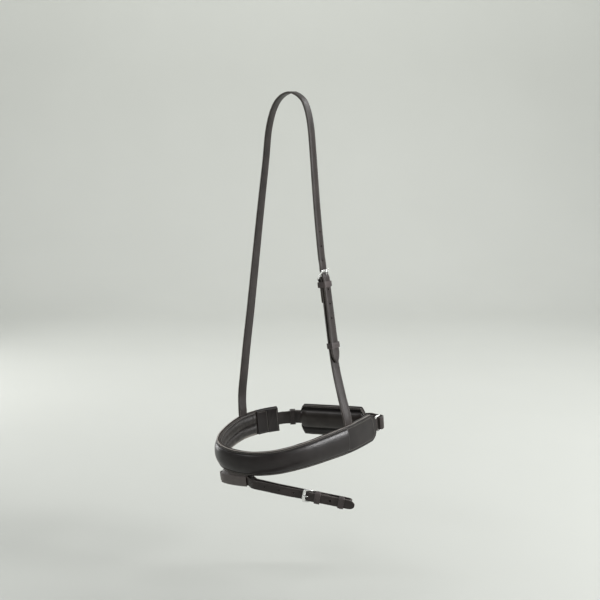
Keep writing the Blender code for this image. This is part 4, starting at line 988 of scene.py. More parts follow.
def crown(share, s):
    """Height of the padded crown above the flat leather, share from -1 to 1 across it."""
    return crown_rise * fade(s, crown_setback, crown_fade) * max(0.0, 1 - abs(share) ** 2.4) ** 0.75


band_steps = round(nose_length / band_fine)
nose_marks = [nose_length * i / band_steps for i in range(band_steps + 1)]


def stations(start, end):
    """Places along the nosepiece for its cross-sections, both ends kept."""
    gap = band_fine * 0.3
    return [start] + [mark for mark in nose_marks if start + gap < mark < end - gap] + [end]


def near_tab_shares(s):
    """The shares of the half height left above and below at s, on the near tab's rounded end."""
    left = max(0.0, (nose_length - s) / near_tab_round)
    for here, after in zip(near_tab_end_shares, near_tab_end_shares[1:]):
        (left1, above1, below1), (left2, above2, below2) = here, after
        if left1 >= left >= left2:
            u = (left1 - left) / (left1 - left2)
            return above1 + (above2 - above1) * u, below1 + (below2 - below1) * u
    return 1.0, 1.0


def waves(point, scale, seed):
    """Smooth unevenness between -1 and 1."""
    return noise.noise(point * scale + Vector((seed, seed * 0.37, -seed)))


def band_ring(s, points):
    """A cross-section of the band at s, from (h, z) points."""
    return [nose.place(s, h, z) for h, z in points]


def crown_end(s):
    """0 on the tabs, 1 on the padded crown, with a blunt end between them."""
    return fade(s, crown_end_setback, crown_end_length)


def outer_ring(s):
    """One cross-section of the outer leather, hollow under the crown, from its lower edge round."""
    above, below = near_tab_shares(s)
    half = half_height(s)
    low, high = -half * below, half * above
    reach = half * crown_look_share
    raised = crown_end(s)
    inner, outer = [], []
    for i in range(outer_rows + 1):
        u = -1 + 2 * i / outer_rows
        u = math.copysign(abs(u) ** 0.72, u)
        h = max(reach * u, low + strap_edge * (2 + i * 0.02))
        h = min(h, high - strap_edge * (3 - i * 0.02))
        roll_z = crown_rise * raised * max(0.0, 1 - abs(u) ** 2.0) ** 0.68
        soft = crown_unevenness * waves(nose.place(s, h, 0), 90.0, 3.0) * raised
        groove = groove_dip * max(0.0, 1 - abs(abs(u) - 0.985) / 0.03) * raised
        inner.append((h, max(0.0, min(crown(h / (half * crown_height_share), s), roll_z))))
        outer.append((h, roll_z + outer_leather + soft * (1 - abs(u)) - groove))
    r = outer_leather * 0.42
    turns = [math.pi / 2 * step / 4 for step in range(5)]
    corners = [(r - r * math.cos(turn), r - r * math.sin(turn)) for turn in turns]
    points = [(low, 0.0)] + inner + [(high, 0.0)]
    points += [(high - inset, outer_leather - drop) for inset, drop in corners]
    points += outer[::-1]
    points += [(low + inset, outer_leather - drop) for inset, drop in reversed(corners)]
    return band_ring(s, points)


outer_edge_strips = (outer_rows + 2, outer_rows + 3, 2 * outer_rows + 12, 2 * outer_rows + 13)
outer_groove_strips = (outer_rows + 7, outer_rows + 8, 2 * outer_rows + 7, 2 * outer_rows + 8)


def band_cutter(name, s1, s2, h1, h2, z1, z2):
    """A cutter that follows the band between two places."""
    corners = ((h1, z1), (h2, z1), (h2, z2), (h1, z2))
    return loft_piece(name, [band_ring(s, corners) for s in stations(s1, s2)], ["edge"])


def corner_insets(r):
    """How far the points of a corner rounded by r lie in from its two faces."""
    turns = [math.radians(turn) for turn in (0, 30, 60, 90)]
    return [(r * (1 - math.cos(turn)), r * (1 - math.sin(turn))) for turn in turns]


# Nosepiece: outer leather with its padded crown, its near end rounded
crown_ends = (
    crown_end_setback, nose_length - near_tab_extra - crown_end_setback - crown_end_length)
outer_places = sorted(set(
    stations(0.0, nose_length)
    + [start + crown_end_length * i / 6 for start in crown_ends for i in range(7)]))
# The outer leather's top and bottom edge strips take the pale edge look, a painted highlight; on
# the off tab they take the groove look instead.
place_piece(loft_piece(
    "nosepiece_outer", [outer_ring(s) for s in outer_places], ["leather", "painted_edge_highlight", "groove"],
    edge_strips=outer_edge_strips, groove_strips=outer_groove_strips,
    plain_rings=[i for i, s in enumerate(outer_places) if s < lining_setback],
), "noseband", "nosepiece_outer_leather")


def band_line(start, end, height):
    """(s, h) points along the band, h given by height(s)."""
    return [(s, height(s)) for s in stations(start, end)]


def tab_line(inset):
    """(s, h) points round the near tab, from the crown's top edge to its bottom edge."""
    places = stations(crown_ends[1], nose_length)
    edge = [(s, half_height(s) * near_tab_shares(s)[0]) for s in places]
    edge += [(s, -half_height(s) * near_tab_shares(s)[1]) for s in reversed(places)]
    moved = []
    for i, here in enumerate(edge):
        before, after = edge[max(i - 2, 0)], edge[min(i + 2, len(edge) - 1)]
        ds, dh = after[0] - before[0], after[1] - before[1]
        size = math.hypot(ds, dh)
        moved.append((here[0] + dh / size * inset, here[1] - ds / size * inset))
    return [
        (s, h) for s, h in moved
        if min(math.hypot(s - edge_s, h - edge_h) for edge_s, edge_h in edge) > inset * 0.93
    ]


off_edge = half_height(0.0) - stitch_inset
crown_margin = (1 + crown_look_share) / 2 - 0.01
stitches("outer_stitches", [
    drawn_seam(line, nose.place, outer_leather - stitch_sink) for line in (
        band_line(*crown_ends, lambda s: half_height(s) * crown_margin),
        band_line(*crown_ends, lambda s: -half_height(s) * crown_margin),
        tab_line(tab_stitch_inset),
        [(crown_ends[0], off_edge), (stitch_inset, off_edge),
         (stitch_inset, -off_edge), (crown_ends[0], -off_edge)],
    )
])

# Middle layer: its lower edge is a pale line between the outer leather and the lining, a painted
# highlight; at the lining's off end that strip takes the darker groove look, painted shade in the
# gap
lining_end = nose_length - near_tab_extra - lining_setback
middle_top = -clearance
middle_bottom = middle_top - middle_thickness
middle_line = (middle_top + middle_bottom) / 2
middle_edge = strap_edge * 1.2
rings = []
for s in stations(lining_setback, lining_end):
    half = half_height(s) - lining_inset
    rings.append(band_ring(s, (
        (-half + middle_edge, middle_bottom), (-half + lining_short * 2, middle_bottom),
        (half - middle_edge, middle_bottom), (half, middle_bottom + middle_edge),
        (half, middle_top - middle_edge), (half - middle_edge, middle_top),
        (-half + middle_edge, middle_top), (-half, middle_top - middle_edge),
        (-half, middle_bottom + middle_edge))))
middle = loft_piece("nosepiece_middle", rings, ["middle", "painted_edge_highlight", "groove"],
                    edge_strips=(0,), plain_rings=(0, 1))
near_strap_place_s = nose_length - near_strap_place
cutters = []
for side, s in (("off", off_strap_place), ("near", near_strap_place_s)):
    top = half_height(s)
    half = sliphead_width / 2 + clearance * 3
    cutters.append(band_cutter(
        "pocket_cutter_" + side, s - half, s + half,
        top - pocket_depth - clearance, top + cut_overrun,
        middle_bottom - cut_overrun, middle_top + cut_overrun,
    ))

# Lining: two soft rolls along the band with a valley between them
lining_top = middle_bottom - clearance
lining_start_s = lining_setback + lining_gap
lining_end_s = lining_end - lining_gap


def lining_depth(u):
    """How far the rolls stand out at u from -1 to 1 across: flat margin, two rolls, a valley."""
    limit = lining_margin_share if u > 0 else lining_low_share
    lobe = (abs(u) / limit - 0.52) / 0.48
    if abs(u) >= limit or abs(lobe) >= 1:
        return 0.0
    return max(0.0, 1 - abs(lobe) ** 2.0) ** 0.54


def lining_creases(s, u):
    """Transverse wrinkles, deepest where the band bends and at the foot of the rolls."""
    bend = min(1.0, 0.25 + nose.tangent(s - 0.006).angle(nose.tangent(s + 0.006)) * 5.0)
    fine_folds = waves(Vector((s, u * 0.004, 0)), 330.0, 7.0)
    slow_folds = waves(Vector((s, u * 0.016, 0)), 95.0, 11.0)
    return bend * (0.13 * fine_folds + 0.15 * slow_folds)


rings = []
lining_places = [lining_start_s + lining_end_length * share for share in lining_end_steps]
lining_places += stations(lining_places[-1], lining_end_s - lining_end_length)[1:-1]
lining_places += [
    lining_end_s - lining_end_length * share for share in reversed(lining_end_steps)]
for s in lining_places:
    half = half_height(s) - lining_inset
    left = min(1.0, min(s - lining_start_s, lining_end_s - s) / lining_end_length)
    rounded = math.sqrt(max(0.0, 1 - (1 - left) ** 2))
    puff = lining_roll * (0.62 + 0.38 * fade(s, lining_setback, lining_puff_fade)) * rounded
    under = []
    for i in range(lining_rows + 1):
        u = -1 + 2 * i / lining_rows
        wave = lining_unevenness * waves(Vector((s, u, 0)), 60.0, 23.0) * abs(u) ** 4
        if u < -lining_low_share:
            short = (-u - lining_low_share) / (1 - lining_low_share)
            wave += short * lining_short * (1 + 0.35 * waves(Vector((s, 0, 0)), 45.0, 31.0))
        edge_round = max(0.0, abs(u) - 0.95) / 0.05 * lining_edge * 0.6
        under.append((
            half * u + wave,
            lining_top - (lining_edge - edge_round) * (0.4 + 0.6 * rounded)
            - puff * lining_depth(u) * (1 + lining_creases(s, u)),
        ))
    rings.append(band_ring(s, [(half, lining_top), (under[0][0], lining_top), *under]))
# The strip just above the lining's lower edge takes the pale edge look, a painted highlight.
lining = place_piece(loft_piece(
    "nosepiece_soft_lining", rings, ["lining", "painted_edge_highlight", "groove"], edge_strips=(4, 5, 6),
    groove_strips=(0, 1, 2, 3, 7, 8, 9, 10, lining_rows + 2),
), "noseband", "nosepiece_lining")
lining_seam_shares = ((1 + lining_margin_share) / 2, -(lining_low_share + 0.04))
stitches("lining_stitches", [
    drawn_seam(
        band_line(lining_start_s + stitch_inset, lining_end_s - stitch_inset,
                  lambda s, share=share: share * (half_height(s) - lining_inset)),
        nose.place, lining_top - lining_edge + stitch_sink, -1)
    for share in lining_seam_shares
])

# Off-side tab facing, with a thicker sewn end that is pressed into fine ribs
facing_top = -clearance
facing_bottom = lining_top - facing_thickness


def facing_ring(s, low, high, bottom):
    """A cross-section of a tab facing, rounded on the side that shows."""
    corner = corner_insets(strap_edge * 1.4)
    points = [(high, facing_top), (low, facing_top)]
    points += [(low + inset, bottom + rise) for inset, rise in corner]
    points += [(high - inset, bottom + rise) for inset, rise in reversed(corner)]
    return band_ring(s, points)


rings = []
rib_places = [rib_pitch * i / 6 for i in range(int(sewn_end_length / rib_pitch * 6) + 1)]
for s in rib_places + stations(sewn_end_length + strap_edge, lining_setback - clearance):
    half = half_height(s) - lining_inset
    ribs = rib_height * (0.5 - 0.5 * math.cos(2 * math.pi * s / rib_pitch)) ** 0.6
    rise = sewn_end_rise - rib_height + ribs if s <= sewn_end_length else 0.0
    rings.append(facing_ring(s, -half, half, facing_bottom - rise))
off_facing = loft_piece("off_tab_facing_leather", rings, ["leather", "painted_edge_highlight", "groove"],
                        groove_strips=(0, 1, 2, 3, 4, 6, 7, 8, 9))
tongue_half = crank_width / 2 + clearance
pocket_floor = middle_bottom - clearance
apply_cuts(off_facing, [band_cutter(
    "off_tab_cutter", -cut_overrun, crank_tongue + clearance, -tongue_half, tongue_half,
    pocket_floor, cut_overrun,
)])
place_piece(off_facing, "noseband", "off_tab_facing")
off_half = half_height(0.0) - lining_inset - stitch_inset
facing_face = facing_bottom + stitch_sink
seam_s = sewn_end_length + stitch_inset * 0.8
stitches("off_facing_stitches", [
    drawn_seam([(s1, h1), (s2, h2)], nose.place, face, -1)
    for s1, h1, s2, h2, face in (
        (seam_s, -off_half, seam_s, off_half, facing_face),
        (seam_s + stitch_inset, off_half, lining_setback - stitch_inset, off_half, facing_face),
        (seam_s + stitch_inset, -off_half, lining_setback - stitch_inset, -off_half, facing_face),
        (stitch_inset, -off_half, stitch_inset, off_half, facing_face - sewn_end_rise),
    )
])

# Near tab facing, with a pocket for the ring chape
rings = []
for s in stations(lining_end + clearance, nose_length):
    above, below = near_tab_shares(s)
    half = half_height(s) - lining_inset
    rings.append(facing_ring(s, -half * below, half * above, facing_bottom))
near_facing = loft_piece("near_tab_facing_leather", rings, ["leather"])
tail_s = nose_length - ring_chape_tail
chape_half = ring_chape_width / 2 + clearance
apply_cuts(near_facing, [band_cutter(
    "near_tab_cutter", tail_s - clearance, nose_length + cut_overrun,
    -chape_half, chape_half, pocket_floor, cut_overrun,
)])
place_piece(near_facing, "noseband", "near_tab_facing")
stitches("near_facing_stitches", [
    drawn_seam([(s, h) for s, h in tab_line(stitch_inset * 1.5) if s > lining_end + stitch_inset],
               nose.place, facing_face, -1),
    drawn_seam([(tail_s, -chape_half), (tail_s, chape_half)], nose.place, facing_face, -1),
])

# Near ring: a square ring whose inner bar turns in its chape
ring_local = Local(nose, nose_length)
ring_half_x = ring_spacing / 2
ring_half_y = ring_window / 2 + ring_bar_radius
place_piece(smooth_hoop(
    "near_ring_steel",
    lambda x, y, v: ring_local.place(ring_setout + x, y, middle_line + v),
    rounded_loop(ring_half_x, ring_half_y, ring_corner, bar_corner_steps, ring_half_x),
    round_section(ring_bar_radius, ring_bar_radius), "steel",
), "near_ring", "near_ring")

# Ring chape: thin leather folded round the inner bar, both ends sewn into the tab
wrap = ring_bar_radius + clearance + ring_chape_thickness / 2
layer = ring_chape_thickness / 2 + clearance / 2
nodes = [(-ring_chape_tail * share, layer) for share in (1.0, 0.8, 0.6, 0.4, 0.2, 0.0)]
nodes.append((ring_setout - wrap * 1.1, wrap * 0.72))
folded = [(x, -z) for x, z in reversed(nodes)]
nodes += [
    (ring_setout + wrap * math.cos(turn), wrap * math.sin(turn))
    for turn in map(math.radians, (112, 80, 40, 0, -40, -80, -112))
]
place_piece(strap(
    "ring_chape_leather",
    lambda x, a, z: nose.place(nose_length + x, a, middle_line + z),
    [(x, z, ring_chape_thickness, ring_chape_width) for x, z in nodes + folded],
), "noseband", "near_ring_chape")

# Headpiece route: off cheek pocket, over the poll, near cheek pocket
poll_z = sliphead_thickness / 2


def pocket_points(s):
    """A strap's line out of its pocket in the band, from its sewn-in end."""
    return [
        nose.place(s, half_height(s) - drop, middle_line)
        for drop in (pocket_depth, pocket_depth * 0.4, -pocket_depth * 0.3)
    ]


off_points = pocket_points(off_strap_place)
near_points = pocket_points(near_strap_place_s)[::-1]
off_foot_y = off_points[-1].y
near_foot_y = near_points[0].y


def leg_point(x_share, z_share, foot_y):
    """A point of a leg. The leg leaves the arch's plane only near its foot."""
    lean = max(0.0, (-z_share - leg_foot_share) / 0.4) ** 2
    return Vector((x_share * arch_reach, foot_y * lean, z_share * hang_drop))


poll_left = Vector((-poll_flat_length / 2, 0, poll_z))
poll_right = Vector((poll_flat_length / 2, 0, poll_z))
off_leg = [leg_point(*shares, off_foot_y) for shares in off_leg_shares]
near_leg = [leg_point(*shares, near_foot_y) for shares in near_leg_shares]
headpiece = Route(
    spline(off_points + off_leg[::-1] + [poll_left])
    + spline([poll_right] + near_leg + near_points), smooth=False)
poll_s = headpiece.nearest(poll_left) + poll_flat_length / 2
off_out = nose.out(off_strap_place)
near_out = nose.out(near_strap_place_s)
headpiece.outs = [(0.0, off_out), (pocket_depth * 1.3, off_out)]
headpiece.outs += [(headpiece.nearest(point), Vector(out)) for point, out in (
    (off_leg[-4], (-1, off_leg_turn_share, 0)),
    (off_leg[4], (-1, 0, leg_lean_share)),
    (off_leg[1], (-1, 0, arch_lean_share)),
)]
headpiece.outs += [
    (poll_s + side * poll_flat_length / 2, Vector((0, 0, 1))) for side in (-1, 1)]
headpiece.outs += [(headpiece.nearest(point), Vector(out)) for point, out in (
    (near_leg[1], (1, 0, arch_lean_share)),
    (near_leg[4], (1, -near_leg_turn_share / 2, leg_lean_share)),
    (near_leg[-5], (1, -near_leg_turn_share, 0)),
)]
headpiece.outs += [(headpiece.length - pocket_depth * 1.3, near_out), (headpiece.length, near_out)]

# Sliphead buckle, on the near side. x runs down towards the cheek
heel_s = poll_s
while headpiece.point(heel_s).z > -heel_drop:
    heel_s += route_step
top_heel_z = -(bar_radius + clearance + cheek_thickness / 2)
top_level = cheek_thickness / 2 + billet_gap + sliphead_thickness / 2
top_front_z = top_heel_z + bar_spacing * sliphead_frame_rise
top_local = Local(headpiece, heel_s)


def on_headpiece(x, a, z):
    return headpiece.place(heel_s + x, a, z)


top_dip = billet_dip(top_level, sliphead_thickness, top_front_z)
leg_start = pocket_depth * 1.2
off_arch, near_arch = poll_s - off_arch_length, poll_s + near_arch_length
seat_start, seat_end = poll_s - poll_seat_half, poll_s + poll_seat_half
places = [0.0, pocket_depth * 0.5, pocket_depth * 0.9, leg_start]
places += spread(leg_start, off_arch, long_step) + [off_arch]
places += spread(off_arch, seat_start, arch_step) + [seat_start, seat_end]
places += spread(seat_end, near_arch, arch_step) + [near_arch]
places += spread(near_arch, heel_s - bar_spacing * 3, long_step)
nodes = [(s - heel_s, 0.0) for s in places]
nodes += [(-bar_spacing * 3, 0.0), (-bar_spacing * 2.4, top_dip[0][1] * 0.5)]
nodes += top_dip
level_end = sliphead_tail - sliphead_tip_length
nodes += [(x, top_level) for x in spread(bar_spacing * dip_top_share, level_end, run_step)]
sewn_end = pocket_depth - heel_s
nodes = [
    (x, z, skived_thickness if x < sewn_end else sliphead_thickness, sliphead_width)
    for x, z in nodes
]
nodes += tip_nodes(sliphead_tail, sliphead_tip_length, top_level, sliphead_thickness,
                   sliphead_width, pointed_tip_shares)
sliphead = strap("sliphead_leather", on_headpiece, nodes)
hole = used_hole(top_dip, sliphead_thickness)
holes = [hole]
holes += [
    plain_hole(hole[0] - i * hole_pitch, 0.0, sliphead_thickness + clearance)
    for i in range(1, holes_above + 1)
]
holes += [
    plain_hole(hole[0] + i * hole_pitch, top_level, sliphead_thickness)
    for i in range(1, holes_below + 1)
]
apply_cuts(sliphead, [round_hole_cutter("sliphead_holes", on_headpiece, holes)])
place_piece(sliphead, "noseband", "sliphead_strap")

# Near cheek strap: folded round the heel bar, its other end sewn into the near cheek
nodes = turned_back_nodes(top_heel_z, cheek_thickness, sliphead_width, cheek_turnback, True)
nodes += fold_nodes(top_heel_z, cheek_thickness, sliphead_width, True)
cheek_end = headpiece.length - heel_s
bend = cheek_end - pocket_depth * 1.3
nodes += [(x, 0.0, cheek_thickness, sliphead_width) for x in spread(0.0, bend, run_step)]
nodes.append((bend, 0.0, cheek_thickness, sliphead_width))
nodes += [
    (x, 0.0, skived_thickness, sliphead_width)
    for x in (cheek_end - pocket_depth, cheek_end - pocket_depth * 0.5, cheek_end)
]
cheek = strap("cheek_leather", on_headpiece, nodes)
slot_half = prong_radius + prong_slot_clearance
fold_reach = bar_radius + clearance + fold_thickness


def prong_slot(name, local, heel_z, depth):
    reach = bar_radius + clearance + prong_radius * 2 + clearance
    return block_cutter(
        name, local.place, -fold_reach - cut_overrun, reach, -slot_half, slot_half,
        heel_z - depth, heel_z + depth,
    )


slot_depth = fold_reach + cheek_thickness + cut_overrun
apply_cuts(cheek, [prong_slot("sliphead_prong_slot", top_local, top_heel_z, slot_depth)])
place_piece(cheek, "noseband", "near_cheek_strap")
cheek_foot = cheek_end - pocket_depth
turned_back_face = cheek_thickness / 2 + clearance + turned_back_thickness
stitches("sliphead_stitches", edge_seams(on_headpiece, sliphead_width, [
    (side * (thickness / 2 - stitch_sink), start, end)
    for side in (1, -1)
    for thickness, start, end in (
        (sliphead_thickness, sewn_end + clearance * 4, sewn_end + foot_seam),
        (cheek_thickness, cheek_foot - foot_seam, cheek_foot - clearance * 4))
]) + edge_seams(on_headpiece, sliphead_width, [
    (z, keeper_start + keeper_width + clearance, cheek_turnback - clearance * 4)
    for z in (cheek_thickness / 2 - stitch_sink, stitch_sink - turned_back_face)
]))
buckle_frame("sliphead_buckle_steel", top_local, top_heel_z, top_front_z, sliphead_width,
             "sliphead_buckle", "sliphead_buckle_frame")
buckle_prong("sliphead_prong_steel", top_local, top_heel_z, top_front_z,
             "sliphead_prong", "sliphead_buckle_prong")
keeper(
    "sliphead_keeper", top_local, keeper_start, sliphead_width / 2,
    -turned_back_face - turned_back_thickness,
    top_level + sliphead_thickness / 2, "noseband", "sliphead_fixed_keeper",
)
slider_local = Local(headpiece, heel_s + sliphead_slider_place)
keeper(
    "sliphead_slider_leather", slider_local, -keeper_width / 2, sliphead_width / 2,
    -cheek_thickness / 2, top_level + sliphead_thickness / 2,
    "sliphead_slider", "sliphead_sliding_keeper",
)

# Crank strap: from the off tab behind the chin pad. s runs from the tab's inside to the near side
tab_points = [nose.place(s, 0, middle_line) for s in (crank_tongue, crank_tongue * 0.5, 0.0)]
pad_start = in_band(*pad_start_shares) - band_up * pad_start_drop
pad_direction = (in_band(*pad_end_shares) - pad_start).normalized()
pad_end = pad_start + pad_direction * pad_length
pad_out = band_up.cross(pad_direction).normalized()
chin_line = spline(
    tab_points
    + [in_band(x, y) - band_up * pad_start_drop * drop for x, y, drop in crank_line_shares]
    + [pad_start - pad_direction * pad_end_bulge * 2, pad_start])
chin = Route(chin_line + [pad_end + pad_direction * pad_end_bulge], smooth=False)
pad_s = chin.nearest(pad_start)
chin.outs = [(0.0, nose.out(crank_tongue)), (crank_tongue, nose.out(0.0)),
             (pad_s, pad_out), (chin.length, pad_out)]
pad_local = Local(chin, pad_s + pad_end_bulge)
pad_local.origin = pad_start
pad_upward = 1 if pad_local.place(0, pad_height, 0).z > pad_start.z else -1
crank_heel_s = pad_s + crank_heel_place
crank_heel_z = bar_radius + clearance + crank_thickness / 2
crank_local = Local(chin, crank_heel_s, forward=False)


def on_crank(x, a, z):
    if x < crank_heel_place:
        return crank_local.place(x, a, z)
    return chin.place(crank_heel_s - x, -a, z)


sewn_x = crank_heel_s - crank_tongue
places = [crank_heel_s, crank_heel_s - crank_tongue * 0.5, sewn_x]
places += spread(sewn_x, crank_heel_place, chin_step)
places += [crank_heel_place, crank_heel_place * 0.6, crank_turnback * 0.5]
nodes = [(x, 0.0, crank_thickness, crank_width) for x in places]
nodes += fold_nodes(crank_heel_z, crank_thickness, crank_width, False)[::-1]
nodes += turned_back_nodes(
    crank_heel_z, crank_thickness, crank_width, crank_turnback, False)[::-1]
crank_base = strap("crank_base_leather", on_crank, nodes)
crank_slot_depth = fold_reach + crank_thickness + cut_overrun
apply_cuts(crank_base, [
    prong_slot("crank_prong_slot", crank_local, crank_heel_z, crank_slot_depth)])
place_piece(crank_base, "noseband", "crank_base_strap")
turned_back_face = crank_thickness / 2 + clearance + turned_back_thickness
stitches("crank_stitches", edge_seams(on_crank, crank_width, [
    (crank_thickness / 2 - stitch_sink, crank_turnback + clearance, crank_heel_place - clearance),
]) + edge_seams(on_crank, crank_width, [
    (turned_back_face - stitch_sink, crank_keeper_start + keeper_width + clearance,
     crank_turnback - clearance * 3),
]))

# Crank billet: root on the pad, out to the ring, round its outer bar and back over the buckle
crank_over = crank_heel_z + bar_radius + clearance * 2 + turned_back_thickness + crank_thickness / 2
crank_level = crank_thickness / 2 + clearance * 2 + turned_back_thickness + crank_thickness / 2
crank_tail_level = crank_thickness + clearance * 2.5
crank_under = crank_thickness + clearance * 2
crank_front_z = crank_under + crank_thickness * dip_squeeze + clearance + front_bar_thickness / 2
ring_bar = ring_local.place(ring_setout + ring_spacing, 0, middle_line)
turn_radius = ring_bar_radius + fold_room + crank_thickness / 2
ring_back = -ring_local.x
ring_in = -ring_local.z
fold_points = [
    ring_bar + (ring_in * math.cos(math.radians(turn)) + ring_back * math.sin(math.radians(turn)))
    * turn_radius
    - ring_back * loop_slack * max(0.0, -math.sin(math.radians(turn - 40)) * 0.5 + 0.5)
    for turn in (72, 95, 125, 160, 195, 230, 262)
]
climb, fall = crank_over - crank_under, crank_over - crank_level
crank_dip = [(bar_spacing * x, crank_under + climb * share) for x, share in crank_dip_shares]
crank_dip += [
    (bar_spacing * x, crank_over - fall * share)
    for x, share in ((0.20, 0.0), (0.50, 0.35), (0.80, 0.80))
]
crank_dip += [
    (bar_spacing * 1.15, crank_level), (crank_turnback, crank_level),
    (crank_turnback + bar_spacing * 0.5, (crank_level + crank_tail_level) / 2),
    (crank_turnback + bar_spacing, crank_tail_level),
]
pad_near_x = -(pad_length - crank_heel_place)
billet_points = [
    crank_local.place(x, 0, 0)
    for x in (-crank_root_gap, (-crank_root_gap + pad_near_x) / 2, pad_near_x - pad_end_bulge)
]
billet_points += [in_band(x, y) for x, y in billet_out_shares]
billet_points += fold_points
billet_points += [in_band(x, y) for x, y in billet_back_shares]
billet_points += [crank_local.place(pad_near_x * 0.85, 0, crank_under + clearance),
                  crank_local.place(-bar_spacing * 2.4, 0, crank_under)]
billet_points += [crank_local.place(x, 0, z) for x, z in crank_dip]
billet_points += [
    on_crank(crank_billet_past * share, 0, crank_tail_level)
    for share in (0.44, 0.51, 0.58, 0.65, 0.72, 0.79, 0.86, 0.93, 1.0)
]
billet_route = Route(billet_points, up=-band_up)
billet_dip_s = [billet_route.nearest(crank_local.place(x, 0, z)) for x, z in crank_dip]
fold_s = [billet_route.nearest(point) for point in fold_points]
billet_end = billet_route.length
places = [0.0] + spread(0.0, fold_s[0], chin_step) + fold_s
places += spread(fold_s[-1], billet_dip_s[0], chin_step) + billet_dip_s
places += spread(billet_dip_s[-1], billet_end - crank_tip_length, chin_step)
nodes = [(s, 0.0, crank_thickness, crank_width) for s in places]
nodes += tip_nodes(
    billet_end, crank_tip_length, 0.0, crank_thickness, crank_width, round_tip_shares)
billet = strap("crank_billet_leather", billet_route.place, nodes)
hole = used_hole([(s, 0.0) for s in billet_dip_s], crank_thickness)
holes = [hole] + [
    plain_hole(hole[0] + i * hole_pitch, 0.0, crank_thickness) for i in (1, 2, 3, -1)]
apply_cuts(billet, [round_hole_cutter("crank_holes", billet_route.place, holes)])
place_piece(billet, "noseband", "crank_billet")
buckle_frame("crank_buckle_steel", crank_local, crank_heel_z, crank_front_z, crank_width,
             "crank_buckle", "crank_buckle_frame")
buckle_prong("crank_prong_steel", crank_local, crank_heel_z, crank_front_z,
             "crank_prong", "crank_buckle_prong")
keeper(
    "crank_keeper", crank_local, crank_keeper_start, crank_width / 2,
    -crank_thickness / 2, crank_level + crank_thickness / 2, "noseband", "crank_fixed_keeper",
)
crank_slider_local = Local(chin, crank_heel_s - crank_slider_place, forward=False)
keeper(
    "crank_slider_leather", crank_slider_local, -keeper_width / 2, crank_width / 2,
    -crank_thickness / 2 - clearance * 2, crank_tail_level + crank_thickness / 2 + clearance * 2,
    "crank_slider", "crank_sliding_keeper", "strap",
)

# Chin pad: backing against the strap, foam, and a face with a middle roll between two grooves
backing_top = -crank_thickness / 2 - clearance
backing_low = backing_top - pad_backing
foam_top = backing_low - clearance
foam_low = foam_top - pad_foam_depth
face_top = foam_low - clearance
flange = face_top - pad_face


def pad_outline(x):
    """Half the pad's height at x: bulging ends with rounded corners."""
    distance = min(x + pad_end_bulge, pad_length + pad_end_bulge - x) / pad_end_bulge
    if distance >= 1:
        corner = min(1.0, (distance - 1) * 0.5) ** 0.5
        return pad_height / 2 * (pad_end_corner_share + (1 - pad_end_corner_share) * corner)
    return pad_height / 2 * pad_end_corner_share * max(distance, 0.0) ** 0.45 * 0.98 + clearance


pad_total = pad_length + pad_end_bulge * 2
pad_first, pad_last = 0.012, 0.988  # the end cross-sections, as shares of the whole length
pad_places = [
    -pad_end_bulge + pad_total * (
        pad_first + (pad_last - pad_first) * (1 - math.cos(math.pi * i / pad_columns)) / 2)
    for i in range(pad_columns + 1)
]


def pad_loft(name, profile, look, **strips):
    rings = [[pad_local.place(x, h, z) for h, z in profile(x)] for x in pad_places]
    return loft_piece(name, rings, [look, "strap_edge", "groove"], **strips)


def edge_corner(half, face, side):
    """Rounded corner points from a pad layer's rim on to its face."""
    return [(half - inset, face + side * rise) for inset, rise in corner_insets(pad_corner)]


def backing_profile(x):
    half = pad_outline(x)
    rim = edge_corner(half, backing_top, -1)
    across = [half * 0.92 * (1 - 2 * i / 20) for i in range(21)]
    points = [(half, backing_low)] + rim + [(h, backing_top) for h in across]
    points += [(-h, z) for h, z in reversed(rim)] + [(-half, backing_low)]
    return points


def roll(u, x):
    """Depth of the middle roll, fading towards the pad's ends."""
    ends = min(1.0, min(x + pad_end_bulge, pad_length + pad_end_bulge - x) / (pad_end_bulge * 2.2))
    return pad_roll_rise * max(0.0, ends) ** 0.5 * max(0.0, 1 - abs(u) ** 2.6) ** 0.6


def face_profile(x):
    half = pad_outline(x)
    half_roll = min(pad_roll_height / 2, half * 0.62)
    groove = min(pad_groove_width, (half - half_roll) * 0.5)
    rim = edge_corner(half, flange, 1)
    lift = (half - half_roll - groove) * pad_roll_lift_share * pad_upward
    side = [(half_roll + groove, flange),
            (half_roll + groove * 0.75, flange + pad_groove_depth * 0.8),
            (half_roll + groove * 0.4, flange + pad_groove_depth)]
    across = []
    for i in range(33):
        u = math.cos(math.pi * i / 32)
        soft = 1 + 0.05 * waves(Vector((x, u * 0.01, 0)), 120.0, 19.0)
        foot = flange + pad_groove_depth * (abs(u) > 0.999)
        across.append((half_roll * u, foot - roll(u, x) * soft))
    low = [(h + lift, z) for h, z in side + across + [(-h, z) for h, z in reversed(side)]]
    low = rim + low + [(-h, z) for h, z in reversed(rim)]
    return [(-half, face_top), (half, face_top)] + low


backing = pad_loft("pad_backing_leather", backing_profile, "leather")
groove_half = keeper_width / 2 + clearance
groove_x = crank_heel_place - crank_keeper_start - keeper_width / 2
keeper_room = keeper_clearance + keeper_thickness + clearance
apply_cuts(backing, [block_cutter(
    "keeper_groove_cutter", pad_local.place, groove_x - groove_half, groove_x + groove_half,
    -crank_width / 2 - keeper_room, crank_width / 2 + keeper_room,
    -crank_thickness / 2 - keeper_room, cut_overrun,
)])
place_piece(backing, "noseband", "chin_pad_backing")
